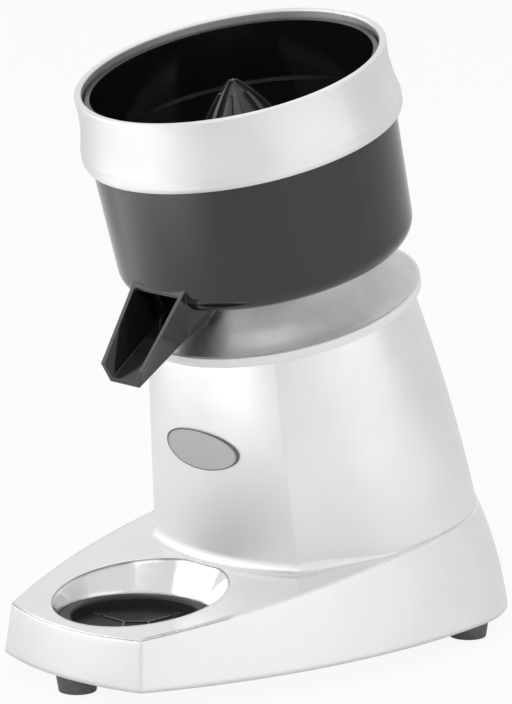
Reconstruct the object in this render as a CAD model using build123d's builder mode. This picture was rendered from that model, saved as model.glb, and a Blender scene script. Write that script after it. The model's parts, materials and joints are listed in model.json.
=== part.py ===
from build123d import *

import os
from math import atan2, cos, degrees, radians, sin, sqrt, tan

# Electric citrus juicer: a tilted bowl with a motor-driven squeezing cone, on a pedestal that
# holds the motor, over a low base with a well for the cup. Millimetres, +Z up, front towards -Y,
# origin on the table under the middle of the base.

# Overall size
BASE_LENGTH = 300.0
BASE_WIDTH = 192.0
TOTAL_HEIGHT = 350.0
half_length = BASE_LENGTH / 2
half_width = BASE_WIDTH / 2

# Clearances
SEAT_GAP = 0.3          # between curved faces that seat in each other
RUN_GAP = 0.05          # between a turning shaft and what it turns in
BOLT_GAP = 0.25         # round a fastener in a plain hole
PRESS_GAP = 0.05        # round what is pressed or screwed in
HOLE_SPARE = 1.0        # depth of a blind hole beyond its fastener

# Feet
FOOT_HEIGHT = 10.5
FOOT_TOP_RADIUS = 12.0
FOOT_BOTTOM_RADIUS = 10.3
FRONT_FOOT_Y = 14.0 - half_length
REAR_FOOT_X = half_width - 20.0
REAR_FOOT_Y = half_length - 60.0
FOOT_SCREW_RADIUS = 2.5
FOOT_SCREW_LENGTH = 14.0
FOOT_SCREW_HEAD_RADIUS = 4.6
FOOT_SCREW_HEAD_HEIGHT = 3.0
FOOT_RECESS_DEPTH = 5.0
FOOT_BOSS_RADIUS = 7.0

# Base casting
FRONT_HALF_WIDTH = half_width - 41.0
FRONT_BULGE = 9.9
WIDEST_Y = half_length - 117.0
REAR_RADIUS = half_width - 21.0
WALL_DRAFT = 8.0
BASE_WALL = 4.0
BASE_EDGE_FILLET = 1.4
DECK_TILT = 8.3
EDGE_STEPS = 8          # rounds of the search for a point of the deck's edge
DECK_Y = 60.3 - half_length
DECK_HEIGHT = 45.6      # over the table, at DECK_Y
REAR_CURVE = 0.0035     # how the rear wall rolls forward, by the square of its height
WALL_MID = 34.0
WALL_TOP = 78.0

# Cup well and drip tray
WELL_Y = 56.8 - half_length
WELL_SEAT_RADIUS = 42.6
WELL_SEAT_Z = 33.9
WELL_SLOPE = 27.5       # of the well's side from the vertical
WELL_FLOOR = 2.4
WELL_WALL = 3.5
WELL_RISE = 50.0        # of the well's side over its seat, past the deck
TRAY_HEIGHT = 9.0
TRAY_GAP = 0.6
TRAY_RIM_WIDTH = 6.6
TRAY_FLOOR = 2.0
TRAY_RIB_WIDTH = 1.2
TRAY_RIB_HEIGHT = 0.8
TRAY_RIM_ROUND = 1.6
TRAY_RIBS = 4
TRAY_SQUARE = 15.0
TRAY_SQUARE_TURN = 45.0
TRAY_RIB_REACH = 26.0
STUD_RADIUS = 0.7
STUD_PITCH = 2.6
STUD_ROWS = 3

# Bowl axis, from the lip of the splash ring
BOWL_TILT = 14.72
LIP_Y = 129.5 - half_length

# Bowl and splash ring share this radius, at the bowl's shoulder
BOWL_RADIUS = 84.6

# Splash ring
RING_LIP_INNER = BOWL_RADIUS - 2.45
RING_LIP_OUTER = BOWL_RADIUS + 1.6
RING_WALL = 2.0
RING_LIP_ROUND = 1.0
RING_HEIGHT = 38.4
RING_WAIST_RADIUS = BOWL_RADIUS + 1.4
RING_WAIST_DEPTH = 14.0
RING_BEAD_RADIUS = BOWL_RADIUS + 4.3
RING_BEAD_DEPTH = RING_HEIGHT - 7.4
RING_BOTTOM_RADIUS = BOWL_RADIUS + 3.6

# Juice bowl
BOWL_TOP_DEPTH = 4.5
BOWL_DEPTH = 112.0
BOWL_TOP_RADIUS = BOWL_RADIUS - 3.4
BOWL_NECK_RADIUS = BOWL_RADIUS - 2.3
BOWL_FOOT_RADIUS = BOWL_RADIUS - 2.0
BOWL_FOOT_DEPTH = BOWL_DEPTH - 10.2
BOWL_FLAT_RADIUS = BOWL_RADIUS - 8.6
BOWL_WALL = 2.8
BOWL_FLOOR = 3.0
DAM_RADIUS = 13.0
DAM_WALL = 3.0
DAM_TOP_DEPTH = BOWL_DEPTH - 40.0
LEDGE_DEPTH = BOWL_DEPTH - 30.0
LEDGE_RADIUS = BOWL_RADIUS - 10.6
LEDGE_THICKNESS = 3.0

# Sump and spout of the bowl, as sections square to the forward direction:
# distance forward of the axis, top and bottom below the lip, half widths at top and bottom
SPOUT_WALL = 2.6
SUMP_BACK = (BOWL_RADIUS - 24.6, BOWL_DEPTH - 2.0, BOWL_DEPTH, 29.0, 24.0)
SUMP_MID = (BOWL_RADIUS - 16.6, BOWL_DEPTH - 2.0, BOWL_DEPTH + 11.0, 28.5, 18.0)
SPOUT_ROOT = (BOWL_RADIUS - 4.6, BOWL_DEPTH - 15.0, BOWL_DEPTH + 14.0, 20.5, 14.0)
SPOUT_LIP = (BOWL_RADIUS + 33.4, BOWL_DEPTH + 17.8, BOWL_DEPTH + 27.6, 16.4, 11.6)
SPOUT_BACK_PLATE = BOWL_RADIUS - 1.6
WALL_OPENING_DEPTH = BOWL_DEPTH - 10.5

# Squeezing cone
CONE_TIP_DEPTH = BOWL_DEPTH - 103.2
CONE_TIP_RADIUS = 2.6
CONE_RADIUS = 33.0
CONE_MID_DEPTH = BOWL_DEPTH - 84.0
CONE_MID_RADIUS = 18.6
CONE_BASE_DEPTH = BOWL_DEPTH - 42.0
CONE_SKIRT = 6.0
CONE_SHELL = 3.5
CONE_CAVITY = 6.0
CONE_HUB_RADIUS = 11.0
CONE_STRAINER_GAP = 2.0
RIB_COUNT = 10
RIB_HEIGHT = 2.8
RIB_ANGLE = 12.0
RIB_PHASE = -26.0
SHORT_RIB_DROP = 6.5

# Strainer
STRAINER_THICKNESS = 1.0
STRAINER_RIM_HEIGHT = 9.0
STRAINER_COLLAR_HEIGHT = 4.0
STRAINER_GAP = 0.6
STRAINER_HOLE_RADIUS = 1.9
STRAINER_ROWS = 4
STRAINER_FIRST_ROW = CONE_RADIUS + 10.0
STRAINER_ROW_STEP = 8.5
STRAINER_ROW_HOLES = 20
STRAINER_ROW_EXTRA = 5

# Motor shaft, drive pin and rotor
SHAFT_RADIUS = 6.0
SHAFT_TOP_DEPTH = BOWL_DEPTH - 70.0
SHAFT_TAIL = 7.0         # below the fan
SHAFT_CHAMFER = 1.0
PIN_RADIUS = 2.0
PIN_LENGTH = 20.0
PIN_DEPTH = BOWL_DEPTH - 24.0
PIN_COVER = 4.0
ROTOR_SEAT_RADIUS = 7.5
END_RING_WIDTH = 10.0
END_RING_HEIGHT = 5.0
AIR_GAP = 0.5

# Top cover of the motor, the flared collar under the bowl
COLLAR_RADIUS = 80.4
COLLAR_RIM_TOP = BOWL_DEPTH + 26.8
COLLAR_RIM_HEIGHT = 4.9
COLLAR_BRIM = 1.8
COLLAR_BRIM_RISE = 0.5
COLLAR_TOP_RADIUS = COLLAR_RADIUS - 20.4
COLLAR_SAG = 3.0
COLLAR_WALL = 4.0
COLLAR_SPIGOT_DEPTH = 8.0
COLLAR_SPIGOT_WALL = 9.5
NOSE_HEIGHT = 6.0
NOSE_GAP = 0.4
SEAL_RADIUS = 11.0
SEAL_HEIGHT = 7.0
BEARING_RADIUS = 16.0
BEARING_HEIGHT = 10.0
BEARING_RACE = 2.85
BEARING_WALL = 5.0
BEARING_DROP = 12.0      # of the upper bearing under the bowl's floor

# Stator, windings, lower end shield and through bolts
STATOR_GAP = 26.0        # under the upper bearing
STATOR_LENGTH = 50.0
STATOR_RADIUS = 48.0
ROTOR_RADIUS = STATOR_RADIUS / 2
WINDING_INNER = ROTOR_RADIUS + 3.0
WINDING_OUTER = STATOR_RADIUS - 10.5
WINDING_HEIGHT = 11.0
WINDING_ROUND = 3.5
SHIELD_DEPTH = 20.0
SHIELD_WALL = 9.5
SHIELD_FLOOR = 4.0
THROUGH_BOLTS = 4
THROUGH_BOLT_PHASE = 45.0
THROUGH_BOLT_CIRCLE = STATOR_RADIUS - 5.0
THROUGH_BOLT_RADIUS = 2.0
THROUGH_BOLT_HEAD = 4.0
THROUGH_BOLT_HEAD_HEIGHT = 3.5
THROUGH_BOLT_GRIP = 12.0
POST_RADIUS = 4.8
VENT_COUNT = 4
VENT_RADIUS = 6.0
VENT_CIRCLE = STATOR_RADIUS - 18.5
SHAFT_CLEARANCE = 3.8  # radial, where the shaft passes a wall

# Cooling fan
FAN_RADIUS = STATOR_RADIUS - 10.0
FAN_HUB_RADIUS = 11.0
FAN_HEIGHT = 11.0
FAN_PLATE = 1.6
FAN_BLADES = 9
FAN_BLADE_ROOT = FAN_HUB_RADIUS - 2.0  # radius where a blade starts, inside the hub
FAN_BLADE_TIP = FAN_RADIUS - 1.5
FAN_GAP = 6.0

# Motor housing, the pedestal
HOUSING_CORNER_X = half_width - 38.5
HOUSING_CORNER_Y = 124.4 - half_length
HOUSING_BULGE = 11.4
SHOULDER_X = half_width - 14.5
SHOULDER_SHARE = 0.725   # of the way from the housing's corner to the widest place
SHOULDER_Y = HOUSING_CORNER_Y + SHOULDER_SHARE * (WIDEST_Y - HOUSING_CORNER_Y)
HOUSING_LEDGE = 0.8
REAR_ANGLES = (8.0, 30.0, 50.0, 72.0, 90.0)
HOUSING_WALL = 4.5
HOUSING_TOP_RADIUS = COLLAR_RADIUS - 6.2
HOUSING_TOP_CORNER = -47.0   # of the soft corner's upper end, about the bowl axis
HOUSING_TOP_FLAT = 4.0   # by which the front's upper end lies inside the round top
HOUSING_BELLY = 3.4      # fullness of the rear at half height
COLLAR_LEDGE_INNER = HOUSING_TOP_RADIUS - 16.7
COLLAR_LEDGE_THICKNESS = 5.0
COLLAR_SCREWS = 4
COLLAR_SCREW_CIRCLE = HOUSING_TOP_RADIUS - 13.2
COLLAR_SCREW_RADIUS = 2.0
COLLAR_SCREW_HEAD = 3.6
COLLAR_SCREW_HEAD_HEIGHT = 2.6
COLLAR_SCREW_GRIP = 6.0
HOUSING_FLANGE = 13.0
LUG_RADIUS = 10.0
LUG_HEIGHT = 16.0
LUG_REAR_POINT = -3      # of the outline, counted from the rear
HOUSING_BOLT_RADIUS = 3.0
HOUSING_BOLT_HEAD = 5.4
HOUSING_BOLT_HEAD_HEIGHT = 4.0
HOUSING_BOLT_GRIP = 11.0

# Badge plate, left bare
BADGE_WIDTH = 57.0
BADGE_HEIGHT = 22.5
BADGE_THICKNESS = 0.9
BADGE_SHARE = 0.476      # of the housing's height in front

# Switch on the left side of the housing
SWITCH_Y = 180.0 - half_length
SWITCH_SHARE = 0.388     # of the housing's height there
SWITCH_FRAME = (22.0, 30.0)
SWITCH_FRAME_EDGE = 2.2
SWITCH_FRAME_HEIGHT = 2.4
SWITCH_FRAME_ROUND = 0.5
SWITCH_SEAT_MARGIN = 1.0
SWITCH_SEAT_DEPTH = 1.6
SWITCH_BODY_DEPTH = 18.0
SWITCH_BODY_WALL = 1.5
ROCKER_GAP = 0.6
ROCKER_TILT = 9.0        # each way from the middle
ROCKER_PROUD = 1.0
ROCKER_DISH = 1.2
ROCKER_UNDERSIDE = 2.0
ROCKER_PIVOT_DEPTH = 1.5
ROCKER_PIN_RADIUS = 1.5

# Bottom cover and its screws
COVER_THICKNESS = 1.2
COVER_SCREW_RADIUS = 1.5
COVER_SCREW_HEAD = 3.0
COVER_SCREW_HEAD_HEIGHT = 1.8
COVER_SCREW_TAPER = 15.0
COVER_SCREW_LENGTH = 8.0
COVER_BOSS_RADIUS = 4.5
COVER_SCREW_FRONT = (half_width - 36.0, 90.0 - half_length)
COVER_SCREW_REAR = (30.0, half_length - 18.0)
SLOT_LENGTH = 40.0
SLOT_WIDTH = 4.0
SLOT_PITCH = 9.0
SLOT_COUNT = 6
SLOT_Y = 195.0 - half_length

# Capacitor, terminal block and cord gland
CAPACITOR_RADIUS = 14.0
CAPACITOR_LENGTH = 55.0
CAPACITOR_ROUND = 1.4
CAPACITOR_SPOT = (-2.0, 130.0 - half_length)
CLIP_WIDTH = 14.0
CLIP_WALL = 1.2
CLIP_FOOT = 9.0
TERMINAL_SIZE = (34.0, 18.0, 14.0)
TERMINAL_SPOT = (0.0, half_length - 50.0)
TERMINAL_POLES = 3
TERMINAL_SCREW_RADIUS = 2.6
GLAND_Z = 32.0
GLAND_SPOT_FACE = 0.6
GLAND_BORE = 4.0
GLAND_BODY = 6.0
GLAND_FLANGE = 8.0
GLAND_FLANGE_HEIGHT = 2.6
GLAND_NUT = 9.0
GLAND_NUT_HEIGHT = 5.0

OUT = "parts"
os.makedirs(OUT, exist_ok=True)


def write(builder, name):
    """Label a finished piece and write it."""
    builder.part.label = name
    export_step(builder.part, f"{OUT}/{name}.step")


# Bowl axis: points and planes along it, with depths measured down from the lip
tilt = radians(BOWL_TILT)
axis_up = Vector(0, -sin(tilt), cos(tilt))
axis_front = Vector(0, -cos(tilt), -sin(tilt))
lip_centre = Vector(0, LIP_Y, TOTAL_HEIGHT - RING_LIP_OUTER * sin(tilt))
spin_axis = Axis(lip_centre, axis_up)


def section_plane(angle):
    """Plane through the bowl axis, by its angle about it from +X, with local X outward."""
    spin = radians(angle)
    outward = Vector(cos(spin), 0, 0) - axis_front * sin(spin)
    return Plane(origin=lip_centre, x_dir=outward, z_dir=outward.cross(axis_up))


profile = section_plane(0)


def level(depth):
    """Plane square to the bowl axis, at a depth below the lip, with local -Y to the front."""
    return Plane(origin=lip_centre - axis_up * depth, x_dir=(1, 0, 0), z_dir=axis_up)


# Deck: the sloping top of the base
deck_angle = radians(DECK_TILT)
deck_up = Vector(0, -sin(deck_angle), cos(deck_angle))
deck = Plane(origin=(0, DECK_Y, DECK_HEIGHT), x_dir=(1, 0, 0), z_dir=deck_up)


def on_deck(x, y):
    """Deck coordinates of the point of the deck over a plan position."""
    return (x, (y - DECK_Y) / cos(deck_angle))


# Plan of the base: a bowed front, two long side arcs and two rear corners tangent to them
front_y = FRONT_BULGE - half_length
side_rise = half_width - FRONT_HALF_WIDTH
side_run = WIDEST_Y - front_y
side_radius = (side_rise**2 + side_run**2) / (2 * side_rise)
side_x = half_width - side_radius
front_angle = degrees(atan2(front_y - WIDEST_Y, FRONT_HALF_WIDTH - side_x))
draft_slope = tan(radians(WALL_DRAFT))
deck_slope = tan(deck_angle)


def rear_corner(rise):
    """Centre of the right rear corner arc, at a height over the bottom edge."""
    y = half_length - REAR_CURVE * rise**2 - REAR_RADIUS
    x = side_x + sqrt((side_radius - REAR_RADIUS) ** 2 - (y - WIDEST_Y) ** 2)
    return x, y


def base_outline(rise, inset):
    """Outline of the base at a height over its bottom edge, inset from the outside."""
    rear_x, rear_y = rear_corner(rise)
    tangent = degrees(atan2(rear_y - WIDEST_Y, rear_x - side_x))
    with BuildSketch() as outline:
        with BuildLine():
            right_end = (FRONT_HALF_WIDTH, front_y)
            ThreePointArc((-FRONT_HALF_WIDTH, front_y), (0, -half_length), right_end)
            side = CenterArc((side_x, WIDEST_Y), side_radius, front_angle, tangent - front_angle)
            corner = CenterArc((rear_x, rear_y), REAR_RADIUS, tangent, 90 - tangent)
            Line((rear_x, rear_y + REAR_RADIUS), (-rear_x, rear_y + REAR_RADIUS))
            mirror([side, corner], about=Plane.YZ)
        make_face()
        if rise + inset > 0:
            offset(amount=-inset - rise * draft_slope, kind=Kind.INTERSECTION)
    return outline.sketch


def base_walls(inset):
    """Solid inside the base's walls, up past the deck, inset from the outside."""
    with BuildPart() as walls:
        for rise in (0, WALL_MID, WALL_TOP):
            with BuildSketch(Plane.XY.offset(FOOT_HEIGHT + rise)):
                add(base_outline(rise, inset))
        loft()
    return walls.part


def deck_rise(y):
    """Height of the deck over the base's bottom edge, at a plan position."""
    return DECK_HEIGHT - FOOT_HEIGHT + (y - DECK_Y) * deck_slope


def side_edge(angle, inset):
    """Plan point where the side wall meets the deck, by the angle on the side arc."""
    y = WIDEST_Y
    for _ in range(EDGE_STEPS):
        radius = side_radius - deck_rise(y) * draft_slope - inset
        y = WIDEST_Y + radius * sin(radians(angle))
    return (side_x + radius * cos(radians(angle)), y)


def corner_edge(angle, inset):
    """Plan point where the rear corner's wall meets the deck, by the angle on its arc."""
    y = half_length - REAR_RADIUS
    for _ in range(EDGE_STEPS):
        rise = deck_rise(y)
        rear_x, rear_y = rear_corner(rise)
        radius = REAR_RADIUS - rise * draft_slope - inset
        y = rear_y + radius * sin(radians(angle))
    return (rear_x + radius * cos(radians(angle)), y)


# Base casting
with BuildPart() as base_core:
    add(base_walls(BASE_WALL))
    split(bisect_by=deck.offset(-BASE_WALL), keep=Keep.BOTTOM)

well_floor_z = WELL_SEAT_Z - TRAY_HEIGHT
well_axis = Axis((0, WELL_Y, 0), (0, 0, 1))
well_profile = Plane(origin=(0, WELL_Y, WELL_SEAT_Z), x_dir=(1, 0, 0), z_dir=(0, -1, 0))
foot_spots = ((0, FRONT_FOOT_Y), (-REAR_FOOT_X, REAR_FOOT_Y), (REAR_FOOT_X, REAR_FOOT_Y))
cover_screw_spots = [(sign * x, y) for x, y in (COVER_SCREW_FRONT, COVER_SCREW_REAR) for sign in (-1, 1)]
cover_top = FOOT_HEIGHT + COVER_THICKNESS

with BuildPart() as base_bosses:
    with BuildSketch(Plane.XY.offset(cover_top)):
        with Locations(foot_spots):
            Circle(FOOT_BOSS_RADIUS)
        with Locations(cover_screw_spots):
            Circle(COVER_BOSS_RADIUS)
    extrude(amount=WALL_TOP)
    split(bisect_by=deck.offset(-BASE_WALL / 2), keep=Keep.BOTTOM)
    add(base_core.part, mode=Mode.INTERSECT)


def housing_outline(inset):
    """Points of the housing's outline on the deck, from the right front corner to the rear."""
    side_angle = atan2(SHOULDER_X - HOUSING_CORNER_X, SHOULDER_Y - HOUSING_CORNER_Y)
    nx = cos(side_angle)
    ny = -sin(side_angle)
    corner = (HOUSING_CORNER_X - inset * (nx + tan(side_angle / 2)), HOUSING_CORNER_Y + inset)
    middle = (
        (HOUSING_CORNER_X + SHOULDER_X) / 2 - inset * nx,
        (HOUSING_CORNER_Y + SHOULDER_Y) / 2 - inset * ny,
    )
    shoulder = (SHOULDER_X - inset * nx, SHOULDER_Y - inset * ny)
    rear_x, rear_y = rear_corner(deck_rise(half_length - REAR_RADIUS))
    side_end = degrees(atan2(rear_y - WIDEST_Y, rear_x - side_x))
    flank = side_edge(side_end / 2, inset + HOUSING_LEDGE)
    rear = [corner_edge(angle, inset + HOUSING_LEDGE) for angle in REAR_ANGLES]
    return [on_deck(x, y) for x, y in (corner, middle, shoulder, flank, *rear)]


def closed_outline(right, front):
    """Sketch of an outline from its right half: an arc in front, one curve round the rear."""
    left = [(-x, y) for x, y in reversed(right)]
    rear = (0, right[-1][1])
    start = Vector(*right[1]) - Vector(*right[0])
    with BuildSketch() as outline:
        with BuildLine():
            ThreePointArc(left[-1], (0, front), right[0])
            Spline(*right, rear, *left, tangents=[start, Vector(start.X, -start.Y)])
        make_face()
    return outline.sketch


def housing_loft(inset):
    """Solid from the outline on the deck, over a fuller middle, up to the round top."""
    radius = HOUSING_TOP_RADIUS - inset
    low = housing_outline(inset)
    low_front = on_deck(0, HOUSING_CORNER_Y - HOUSING_BULGE + inset)[1]
    centre_y = (low[0][1] + low[-1][1]) / 2
    high = level(COLLAR_RIM_TOP + COLLAR_RIM_HEIGHT)
    low_centre = deck.from_local_coords((0, centre_y, 0))
    half_way = Plane(
        origin=(low_centre + high.origin) / 2, x_dir=(1, 0, 0), z_dir=(deck_up + axis_up).normalized()
    )
    top_corner = radians(HOUSING_TOP_CORNER)
    turns = [top_corner] + [atan2(y - centre_y, x) for x, y in low[1:]]
    half = []
    for (x, y), turn in zip(low, turns):
        fullness = HOUSING_BELLY * max(0, sin(turn))
        half_x = (x + radius * cos(turn)) / 2 + fullness * cos(turn)
        half.append((half_x, (y - centre_y + radius * sin(turn)) / 2 + fullness * sin(turn)))
    top_front = HOUSING_TOP_FLAT - radius
    half_front = (low_front - centre_y + top_front) / 2
    with BuildPart() as shape:
        with BuildSketch(deck):
            add(closed_outline(low, low_front))
        with BuildSketch(half_way):
            add(closed_outline(half, half_front))
        with BuildSketch(high):
            with BuildLine():
                corner = (radius * cos(top_corner), radius * sin(top_corner))
                ThreePointArc((-corner[0], corner[1]), (0, top_front), corner)
                CenterArc((0, 0), radius, HOUSING_TOP_CORNER, 180 - 2 * HOUSING_TOP_CORNER)
            make_face()
        loft()
    return shape.part


# Rear wall of the base where the cord comes in
gland_rise = GLAND_Z - FOOT_HEIGHT
gland_y = half_length - gland_rise * draft_slope - REAR_CURVE * gland_rise**2 - GLAND_SPOT_FACE
gland_lean = draft_slope + 2 * REAR_CURVE * gland_rise
gland_plane = Plane(origin=(0, gland_y, GLAND_Z), x_dir=(1, 0, 0), z_dir=(0, 1, gland_lean))


def well_solid(wall, floor_z):
    """Solid of the cup well about its upright axis, grown by a wall, up past the deck."""
    flare = WELL_SEAT_RADIUS + wall + WELL_RISE * tan(radians(WELL_SLOPE))
    with BuildPart() as solid:
        with BuildSketch(well_profile):
            Polygon(
                (0, floor_z - WELL_SEAT_Z),
                (WELL_SEAT_RADIUS + wall, floor_z - WELL_SEAT_Z),
                (WELL_SEAT_RADIUS + wall, 0),
                (flare, WELL_RISE),
                (0, WELL_RISE),
                align=None,
            )
        revolve(axis=well_axis)
    return solid.part


with BuildPart() as well_space:
    add(well_solid(0, well_floor_z))

with BuildPart() as well_boss:
    add(well_solid(WELL_WALL, well_floor_z - WELL_FLOOR))
    split(bisect_by=deck.offset(-BASE_WALL / 2), keep=Keep.BOTTOM)
    add(base_walls(BASE_WALL / 2), mode=Mode.INTERSECT)

housing_outer = housing_loft(0)
housing_inner = housing_loft(HOUSING_WALL)
lug_line = housing_outline(HOUSING_WALL + LUG_RADIUS / 2)
lug_spots = [(sign * x, y) for x, y in (lug_line[0], lug_line[LUG_REAR_POINT]) for sign in (-1, 1)]

with BuildPart() as base_casting:
    add(base_walls(0))
    split(bisect_by=deck, keep=Keep.BOTTOM)
    deck_face = faces().sort_by(Axis((0, 0, 0), deck_up))[-1]
    fillet(deck_face.edges(), BASE_EDGE_FILLET)
    add(base_core.part, mode=Mode.SUBTRACT)
    add(base_bosses.part)
    add(well_boss.part)
    add(well_space.part, mode=Mode.SUBTRACT)
    with BuildSketch(deck):
        with BuildLine():
            opening = housing_outline(HOUSING_WALL + HOUSING_FLANGE)
            Polyline(*opening, *[(-x, y) for x, y in reversed(opening)], close=True)
        make_face()
        with Locations(lug_spots):
            Circle(LUG_RADIUS, mode=Mode.SUBTRACT)
    extrude(amount=-2 * BASE_WALL, mode=Mode.SUBTRACT)
    with BuildSketch(deck):
        with Locations(lug_spots):
            Circle(HOUSING_BOLT_RADIUS + BOLT_GAP)
    extrude(amount=-2 * BASE_WALL, mode=Mode.SUBTRACT)
    with BuildSketch(Plane.XY.offset(cover_top)):
        with Locations(foot_spots):
            Circle(FOOT_SCREW_RADIUS + PRESS_GAP)
    foot_screw_reach = FOOT_SCREW_LENGTH - (cover_top - FOOT_RECESS_DEPTH)
    extrude(amount=foot_screw_reach + HOLE_SPARE, mode=Mode.SUBTRACT)
    with BuildSketch(Plane.XY.offset(cover_top)):
        with Locations(cover_screw_spots):
            Circle(COVER_SCREW_RADIUS + PRESS_GAP)
    extrude(amount=COVER_SCREW_LENGTH - COVER_THICKNESS + HOLE_SPARE, mode=Mode.SUBTRACT)
    with BuildSketch(gland_plane):
        Circle(GLAND_BODY + PRESS_GAP)
    extrude(amount=2 * BASE_WALL, both=True, mode=Mode.SUBTRACT)
    with BuildSketch(gland_plane):
        Circle(GLAND_FLANGE + SEAT_GAP)
    extrude(amount=2 * BASE_WALL, mode=Mode.SUBTRACT)
write(base_casting, "base_casting")


def band(inner, outer, top, bottom):
    """Section of a ring about the bowl axis, by its radii and its depths below the lip."""
    with BuildSketch() as section:
        with Locations(((inner + outer) / 2, -(top + bottom) / 2)):
            Rectangle(outer - inner, bottom - top)
    return section.sketch


def wall_plane(start, direction):
    """Plane on the outside of the housing's wall where a ray from inside comes out."""
    ray = Axis(start, direction)
    hits = [hit for face in housing_outer.faces() for hit in face.find_intersection_points(ray)]
    point, normal = max(hits, key=lambda hit: (hit[0] - Vector(*start)).dot(ray.direction))
    if normal.dot(ray.direction) < 0:
        normal = -normal
    return Plane(origin=point, x_dir=Vector(0, 0, 1).cross(normal), z_dir=normal)


def housing_height(y, share):
    """Height over the table of a share of the housing's height, at a plan position."""
    foot = FOOT_HEIGHT + deck_rise(y)
    return foot + share * (housing_top_z - foot)


# Drip tray, standing on the floor of the well
tray_radius = WELL_SEAT_RADIUS - TRAY_GAP
tray_inner = tray_radius - TRAY_RIM_WIDTH
tray_floor = Plane.XY.offset(well_floor_z + TRAY_FLOOR)
rib_start = TRAY_SQUARE / sqrt(2) - TRAY_RIB_WIDTH
with BuildPart() as drip_tray:
    with BuildSketch(well_profile):
        add(band(0, tray_radius, 0, TRAY_HEIGHT))
        add(band(0, tray_inner, 0, TRAY_HEIGHT - TRAY_FLOOR), mode=Mode.SUBTRACT)
    revolve(axis=well_axis)
    fillet(edges().filter_by(GeomType.CIRCLE).group_by(Axis.Z)[-1], TRAY_RIM_ROUND)
    with BuildSketch(tray_floor):
        with Locations((0, WELL_Y)):
            Rectangle(TRAY_SQUARE, TRAY_SQUARE, rotation=TRAY_SQUARE_TURN)
            inner_square = TRAY_SQUARE - 2 * TRAY_RIB_WIDTH
            Rectangle(inner_square, inner_square, rotation=TRAY_SQUARE_TURN, mode=Mode.SUBTRACT)
            with PolarLocations((TRAY_RIB_REACH + rib_start) / 2, TRAY_RIBS):
                Rectangle(TRAY_RIB_REACH - rib_start, TRAY_RIB_WIDTH)
            with PolarLocations(TRAY_RIB_REACH + STUD_PITCH * (STUD_ROWS + 1) / 2, TRAY_RIBS):
                with GridLocations(STUD_PITCH, STUD_PITCH, STUD_ROWS, 2):
                    Circle(STUD_RADIUS)
    extrude(amount=TRAY_RIB_HEIGHT)
write(drip_tray, "drip_tray")

# Bottom cover, held by the feet and by four small screws
cover_inset = BASE_WALL + COVER_THICKNESS * draft_slope + SEAT_GAP
with BuildPart() as bottom_cover:
    with BuildSketch(Plane.XY.offset(FOOT_HEIGHT)):
        add(base_outline(0, cover_inset))
        with Locations(foot_spots):
            Circle(FOOT_SCREW_RADIUS + BOLT_GAP, mode=Mode.SUBTRACT)
        with Locations(cover_screw_spots):
            Circle(COVER_SCREW_RADIUS + BOLT_GAP, mode=Mode.SUBTRACT)
        with Locations((0, SLOT_Y)):
            with GridLocations(0, SLOT_PITCH, 1, SLOT_COUNT):
                SlotOverall(SLOT_LENGTH, SLOT_WIDTH, mode=Mode.SUBTRACT)
    extrude(amount=COVER_THICKNESS)
write(bottom_cover, "bottom_cover")

with BuildPart() as cover_screws:
    with BuildSketch(Plane.XY.offset(FOOT_HEIGHT)):
        with Locations(cover_screw_spots):
            Circle(COVER_SCREW_RADIUS)
    extrude(amount=COVER_SCREW_LENGTH)
    with BuildSketch(Plane.XY.offset(FOOT_HEIGHT)):
        with Locations(cover_screw_spots):
            Circle(COVER_SCREW_HEAD)
    extrude(amount=-COVER_SCREW_HEAD_HEIGHT, taper=COVER_SCREW_TAPER)
write(cover_screws, "cover_screws")

# Feet, each with a recess for its screw
foot_names = ("front_foot", "left_rear_foot", "right_rear_foot")
standing = (Align.CENTER, Align.CENTER, Align.MIN)
for foot_spot, foot_name in zip(foot_spots, foot_names):
    foot_plane = Plane((*foot_spot, 0))
    with BuildPart(foot_plane) as foot:
        Cone(FOOT_BOTTOM_RADIUS, FOOT_TOP_RADIUS, FOOT_HEIGHT, align=standing)
        with BuildSketch(foot_plane):
            Circle(FOOT_SCREW_HEAD_RADIUS + BOLT_GAP)
        extrude(amount=FOOT_RECESS_DEPTH, mode=Mode.SUBTRACT)
        with BuildSketch(foot_plane):
            Circle(FOOT_SCREW_RADIUS + BOLT_GAP)
        extrude(amount=FOOT_HEIGHT, mode=Mode.SUBTRACT)
    write(foot, foot_name)

with BuildPart() as foot_screws:
    with BuildSketch(Plane.XY.offset(FOOT_RECESS_DEPTH)):
        with Locations(foot_spots):
            Circle(FOOT_SCREW_RADIUS)
    extrude(amount=FOOT_SCREW_LENGTH)
    with BuildSketch(Plane.XY.offset(FOOT_RECESS_DEPTH)):
        with Locations(foot_spots):
            Circle(FOOT_SCREW_HEAD_RADIUS)
    extrude(amount=-FOOT_SCREW_HEAD_HEIGHT)
write(foot_screws, "foot_screws")

# Motor housing
collar_seat = COLLAR_RIM_TOP + COLLAR_RIM_HEIGHT
spigot_end = collar_seat + COLLAR_SPIGOT_DEPTH
ledge_bottom = spigot_end + COLLAR_LEDGE_THICKNESS
housing_bore = HOUSING_TOP_RADIUS - HOUSING_TOP_FLAT - HOUSING_WALL
housing_top_z = level(collar_seat).origin.Z
switch_z = housing_height(SWITCH_Y, SWITCH_SHARE)
switch_plane = wall_plane((0, SWITCH_Y, switch_z), (-1, 0, 0))
switch_seat = switch_plane.offset(-SWITCH_SEAT_DEPTH)
switch_mouth = [size - 2 * SWITCH_FRAME_EDGE - 2 * SWITCH_BODY_WALL for size in SWITCH_FRAME]
switch_body_size = [size + 2 * SWITCH_BODY_WALL for size in switch_mouth]

with BuildPart() as housing_lugs:
    with BuildSketch(deck):
        with Locations(lug_spots):
            Circle(LUG_RADIUS)
    extrude(amount=LUG_HEIGHT)
    with BuildSketch(profile):
        add(band(COLLAR_LEDGE_INNER, HOUSING_TOP_RADIUS, spigot_end, ledge_bottom))
    revolve(axis=spin_axis)
    add(housing_outer, mode=Mode.INTERSECT)

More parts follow.
